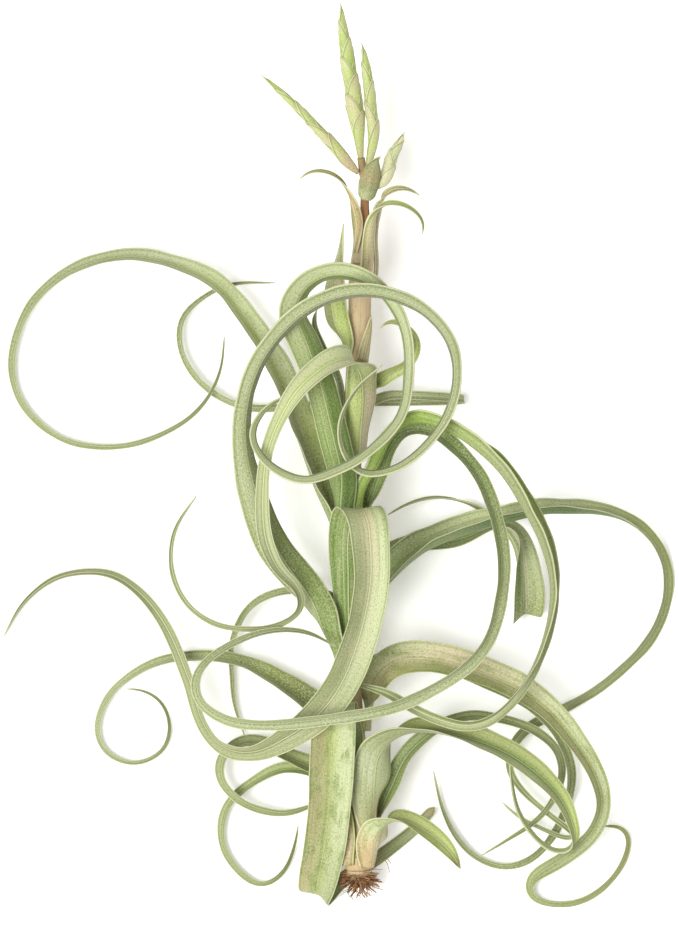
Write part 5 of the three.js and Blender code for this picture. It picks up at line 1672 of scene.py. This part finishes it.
@dataclass(frozen=True)
class RootTuft(Part):
    """Short wiry roots all round a rounded plug at the stem's foot."""

    name: str = "root_tuft"
    slot: Slot = Slot.ROOT
    depths: tuple[float, ...] = (0, 2.4, 4.8, 6.8)
    shares: tuple[float, ...] = (0.98, 0.94, 0.7, 0.3)
    plug_sides: int = 24
    plug_ridge: float = 0.06
    spacing: float = 0.5
    count: int = 40
    sides: int = 8
    ridge: float = 0.1
    radius: float = 0.5
    shortest: float = 3.5
    longest: float = 8.0
    stray: float = 4.0
    depth: float = 1.4
    reach: float = 0.7
    fan: float = 0.9
    tip: float = 0.6
    dark_every: int = 4
    seed: int = 7
    fine_count: int = 150
    fine_sides: int = 6
    fine_spacing: float = 0.7
    fine_depth: tuple[float, float] = (0.4, 4.0)
    fine_inset: float = 0.5
    fine_extra: float = 0.3
    fine_radius: tuple[float, float] = (0.22, 0.42)
    fine_profile: tuple[float, ...] = (1, 1, 1, 0.8, 0.6, 0.25)
    fine_length: tuple[float, float] = (3.0, 8.5)
    fine_turn: tuple[float, float] = (0.6, 1.9)
    fine_curl: float = 1.7
    fine_fan: float = 1.25
    fine_seed: int = 60
    # PEACH in these pairs is painted highlight on the fine roots.
    fine_colours_and_highlights: tuple[tuple[Tint, Tint], ...] = (
        (Tint.ROOT_BROWN, Tint.BROWN), (Tint.PEACH, Tint.ROOT_BROWN), (Tint.ROOT_BROWN, Tint.PEACH),
        (Tint.BROWN, Tint.DARK_BROWN), (Tint.ROSE_TAN, Tint.ROOT_BROWN))
    hairs: tuple[tuple[Point, ...], ...] = (
        ((14, -207, 16.6), (18.5, -205.5, 17), (22.5, -203, 17), (24, -204.5, 16), (25.5, -209.5, 14)),
        ((22.5, -203, 17), (24.4, -202.6, 17.2), (26.2, -205, 16.6)))
    hair_radius: float = 0.26
    hair_taper: float = 0.6
    hair_spacing: float = 0.6

    GOLDEN_ANGLE = math.pi * (3 - math.sqrt(5))

    def grow(self, skin: Skin) -> None:
        """Adds the plug, the wiry roots, the fine ones and the long hairs.

        Args:
            skin: Where they go.
        """
        x, y, z, radius = STEM_RINGS[0]
        down = -Route([ring[:3] for ring in STEM_RINGS]).along(np.array([0.0]))
        side, face = (rows[0] for rows in sides_of(down))
        down = down[0]
        foot = np.array([x, y, z], float)
        plug = [foot + down * (SEAT_GAP + depth) for depth in self.depths]
        tube(skin, plug, [share * radius for share in self.shares], self.plug_sides, self.spacing,
             (Tint.STEM_TAN, Tint.ROOT_BROWN), self.plug_ridge)
        stream = Stream(self.seed)
        for i in range(self.count):
            around = i * self.GOLDEN_ANGLE
            tilt = math.acos(1 - self.fan * (i + 0.5) / self.count)
            out = (down * math.cos(tilt) + side * (math.sin(tilt) * math.cos(around))
                   + face * (math.sin(tilt) * math.sin(around)))
            length = stream.between(self.shortest, self.longest)
            start = foot + down * (SEAT_GAP + self.depth) + out * radius * self.reach
            end = start + out * length
            end = end + side * (self.stray * (stream.draw() - 0.5))
            end = end + face * (self.stray * (stream.draw() - 0.5))
            bend = start + out * length / 2
            dark = Tint.DARK_BROWN if i % self.dark_every == 0 else Tint.ROOT_BROWN
            tube(skin, [start, bend, end], [self.radius, self.radius, self.radius * self.tip],
                 self.sides, self.spacing, (Tint.ROOT_BROWN, dark), self.ridge, i + 1)
        self._grow_fine(skin, foot, (down, side, face), stream)
        for line in self.hairs:
            radii = [self.hair_radius * (1 - self.hair_taper * k / (len(line) - 1))
                     for k in range(len(line))]
            tube(skin, line, radii, self.fine_sides, self.hair_spacing, (Tint.HAZEL, Tint.BROWN))

    def _grow_fine(self, skin: Skin, foot: Array, axes: tuple[Array, Array, Array],
                   stream: Stream) -> None:
        """Adds the fine curly roots between the wiry ones.

        Args:
            skin: Where they go.
            foot: The middle of the stem's foot.
            axes: The directions downwards along the stem, across it and up from the floor.
            stream: Where their sizes come from.
        """
        down, side, face = axes
        radius = STEM_RINGS[0][3]
        for i in range(self.fine_count):
            around = (i + 0.5) * self.GOLDEN_ANGLE
            tilt = math.acos(max(1 - self.fine_fan * (i + 0.5) / self.fine_count, -1.0))
            across = side * math.cos(around) + face * math.sin(around)
            out = down * math.cos(tilt) + across * math.sin(tilt)
            depth = SEAT_GAP + stream.between(*self.fine_depth)
            start = foot + down * depth + out * radius * self.fine_inset
            reach = stream.between(*self.fine_length) + radius * self.fine_extra
            turn = stream.between(0.0, 2 * math.pi)
            line = [start]
            last = len(self.fine_profile) - 1
            for k in range(1, last + 1):
                turn += stream.between(*self.fine_turn)
                curl = (side * math.cos(turn) + face * math.sin(turn)) * self.fine_curl * k / last
                line.append(start + out * (reach * k / last) + curl)
            thick = stream.between(*self.fine_radius)
            tube(skin, line, [thick * share for share in self.fine_profile], self.fine_sides,
                 self.fine_spacing, self.fine_colours_and_highlights[i % len(self.fine_colours_and_highlights)], self.ridge,
                 i + self.fine_seed)


SPIKES: tuple[Spike, ...] = (
    Spike("spike_main", ((11, 147.6, 31), (9.5, 162.5, 32.6), (7.5, 177.5, 34.2),
                         (4.3, 197.5, 35.4), (1.6, 216, 36.6), (0, 227.3, 37)),
          ((0, 1.9), (0.12, 2.9), (0.18, 3.8), (0.25, 4.5), (0.34, 4.9), (0.43, 4.4), (0.52, 4.1),
           (0.62, 4.1), (0.72, 3.5), (0.82, 2.6), (0.91, 1.6), (0.97, 0.7), (1, 0.1)),
          13, 0.31, 0.32),
    Spike("spike_right", ((14.2, 142, 32), (17.2, 160, 35.4), (15.6, 176, 38), (13.6, 193, 39.8),
                          (10.3, 207, 41)),
          ((0, 1.4), (0.12, 2.5), (0.3, 3.3), (0.55, 3.2), (0.75, 2.7), (0.87, 1.9), (0.95, 1.0),
           (1, 0.1)), 9, 0.4, 0.42),
    Spike("spike_left", ((9.6, 141, 32.4), (3.6, 147, 35.2), (-3.2, 155, 36.6), (-15.1, 167.5, 37.4),
                         (-27.6, 180, 38), (-41, 190.8, 38)),
          ((0, 1.6), (0.06, 2.9), (0.15, 3.6), (0.28, 3.3), (0.45, 2.7), (0.6, 2.4), (0.75, 1.9),
           (0.9, 1.1), (1, 0.1)), 9, 0.36, 0.36,
          low_tints=(Tint.ROSE_TAN, Tint.STEM_PINK, Tint.PALE_LIME, Tint.PINK_CREAM)),
    Spike("spike_pale", ((15.4, 132.5, 29.8), (22.4, 137, 30.5), (24.4, 142, 31), (26.7, 149.5, 31.6),
                         (29.9, 155.6, 32), (33.5, 161.5, 32.2)),
          ((0, 1.3), (0.15, 2.6), (0.35, 3.7), (0.55, 3.4), (0.75, 2.6), (0.92, 1.2), (1, 0.1)),
          6, 0.5, 0.5, low_tints=(Tint.CREAM_GREEN, Tint.CREAM, Tint.CREAM),
          tints=(Tint.CREAM_GREEN, Tint.CREAM_GREEN, Tint.CREAM)),
)


# ---------------------------------------------------------------- studio

@dataclass(frozen=True)
class Studio:
    """Pale floor, one large soft light from the left, bright surroundings, and the camera."""

    aim: tuple[float, float] = (0.00046, -0.00417)
    seen_height: float = 0.4635
    seen_level: float = 0.03
    distance: float = 5.0
    sensor: float = 36.0
    clip: tuple[float, float] = (0.1, 60.0)
    floor_reach: float = 15.0
    floor_level: float = -0.00005
    lamp_place: Point = (-1.2, -0.5, 2.6)
    lamp_size: float = 1.8
    lamp_power: float = 95.0
    lamp_colour: Colour = (0.99, 0.995, 1.0)
    sky_colour: Colour = (1.0, 0.985, 0.955)
    sky_strength: float = 0.64

    def build_camera(self) -> bpy.types.Object:
        """Hangs the camera straight above the plant, its upper side towards the flower spikes.

        Returns:
            The camera.
        """
        data = bpy.data.cameras.new("camera")
        data.sensor_width = self.sensor
        data.lens = self.sensor * self.distance / self.seen_height
        data.clip_start, data.clip_end = self.clip
        camera = added("camera", data)
        camera.location = (*self.aim, self.seen_level + self.distance)
        bpy.context.scene.camera = camera
        return camera

    def build_floor(self) -> bpy.types.Object:
        """Lays the floor.

        Returns:
            The floor.
        """
        mesh = bpy.data.meshes.new("floor")
        reach = self.floor_reach
        corners = [(x * reach, y * reach, self.floor_level)
                   for x, y in ((-1, -1), (1, -1), (1, 1), (-1, 1))]
        mesh.from_pydata(corners, [], [(0, 1, 2, 3)])
        floor = added("floor", mesh)
        mesh.materials.append(FloorFinish().material())
        return floor

    def build_light(self) -> None:
        """Sets up the lamp and the bright surroundings."""
        data = bpy.data.lights.new("lamp", "AREA")
        data.shape = "DISK"
        data.size = self.lamp_size
        data.energy = self.lamp_power
        data.color = self.lamp_colour
        lamp = added("lamp", data)
        lamp.location = self.lamp_place
        lamp.rotation_mode = "QUATERNION"
        lamp.rotation_quaternion = (-Vector(self.lamp_place)).to_track_quat("-Z", "Y")
        world = bpy.data.worlds.new("surroundings")
        world.use_nodes = True
        background = world.node_tree.nodes["Background"]
        background.inputs["Color"].default_value = (*self.sky_colour, 1.0)
        background.inputs["Strength"].default_value = self.sky_strength
        bpy.context.scene.world = world
        bpy.context.scene.view_settings.view_transform = "Standard"


# ---------------------------------------------------------------- the plant


def main() -> None:
    """Builds the studio and every piece of the plant, in order."""
    logging.basicConfig(level=logging.INFO, format="%(message)s")
    studio = Studio()
    studio.build_camera()
    studio.build_floor()
    studio.build_light()
    wardrobe = Wardrobe()
    for part in (Stem(), *LEAVES, *SPIKES, Pouch(), RootTuft()):
        part.dress(part.build(), wardrobe)


if __name__ == "__main__":
    main()
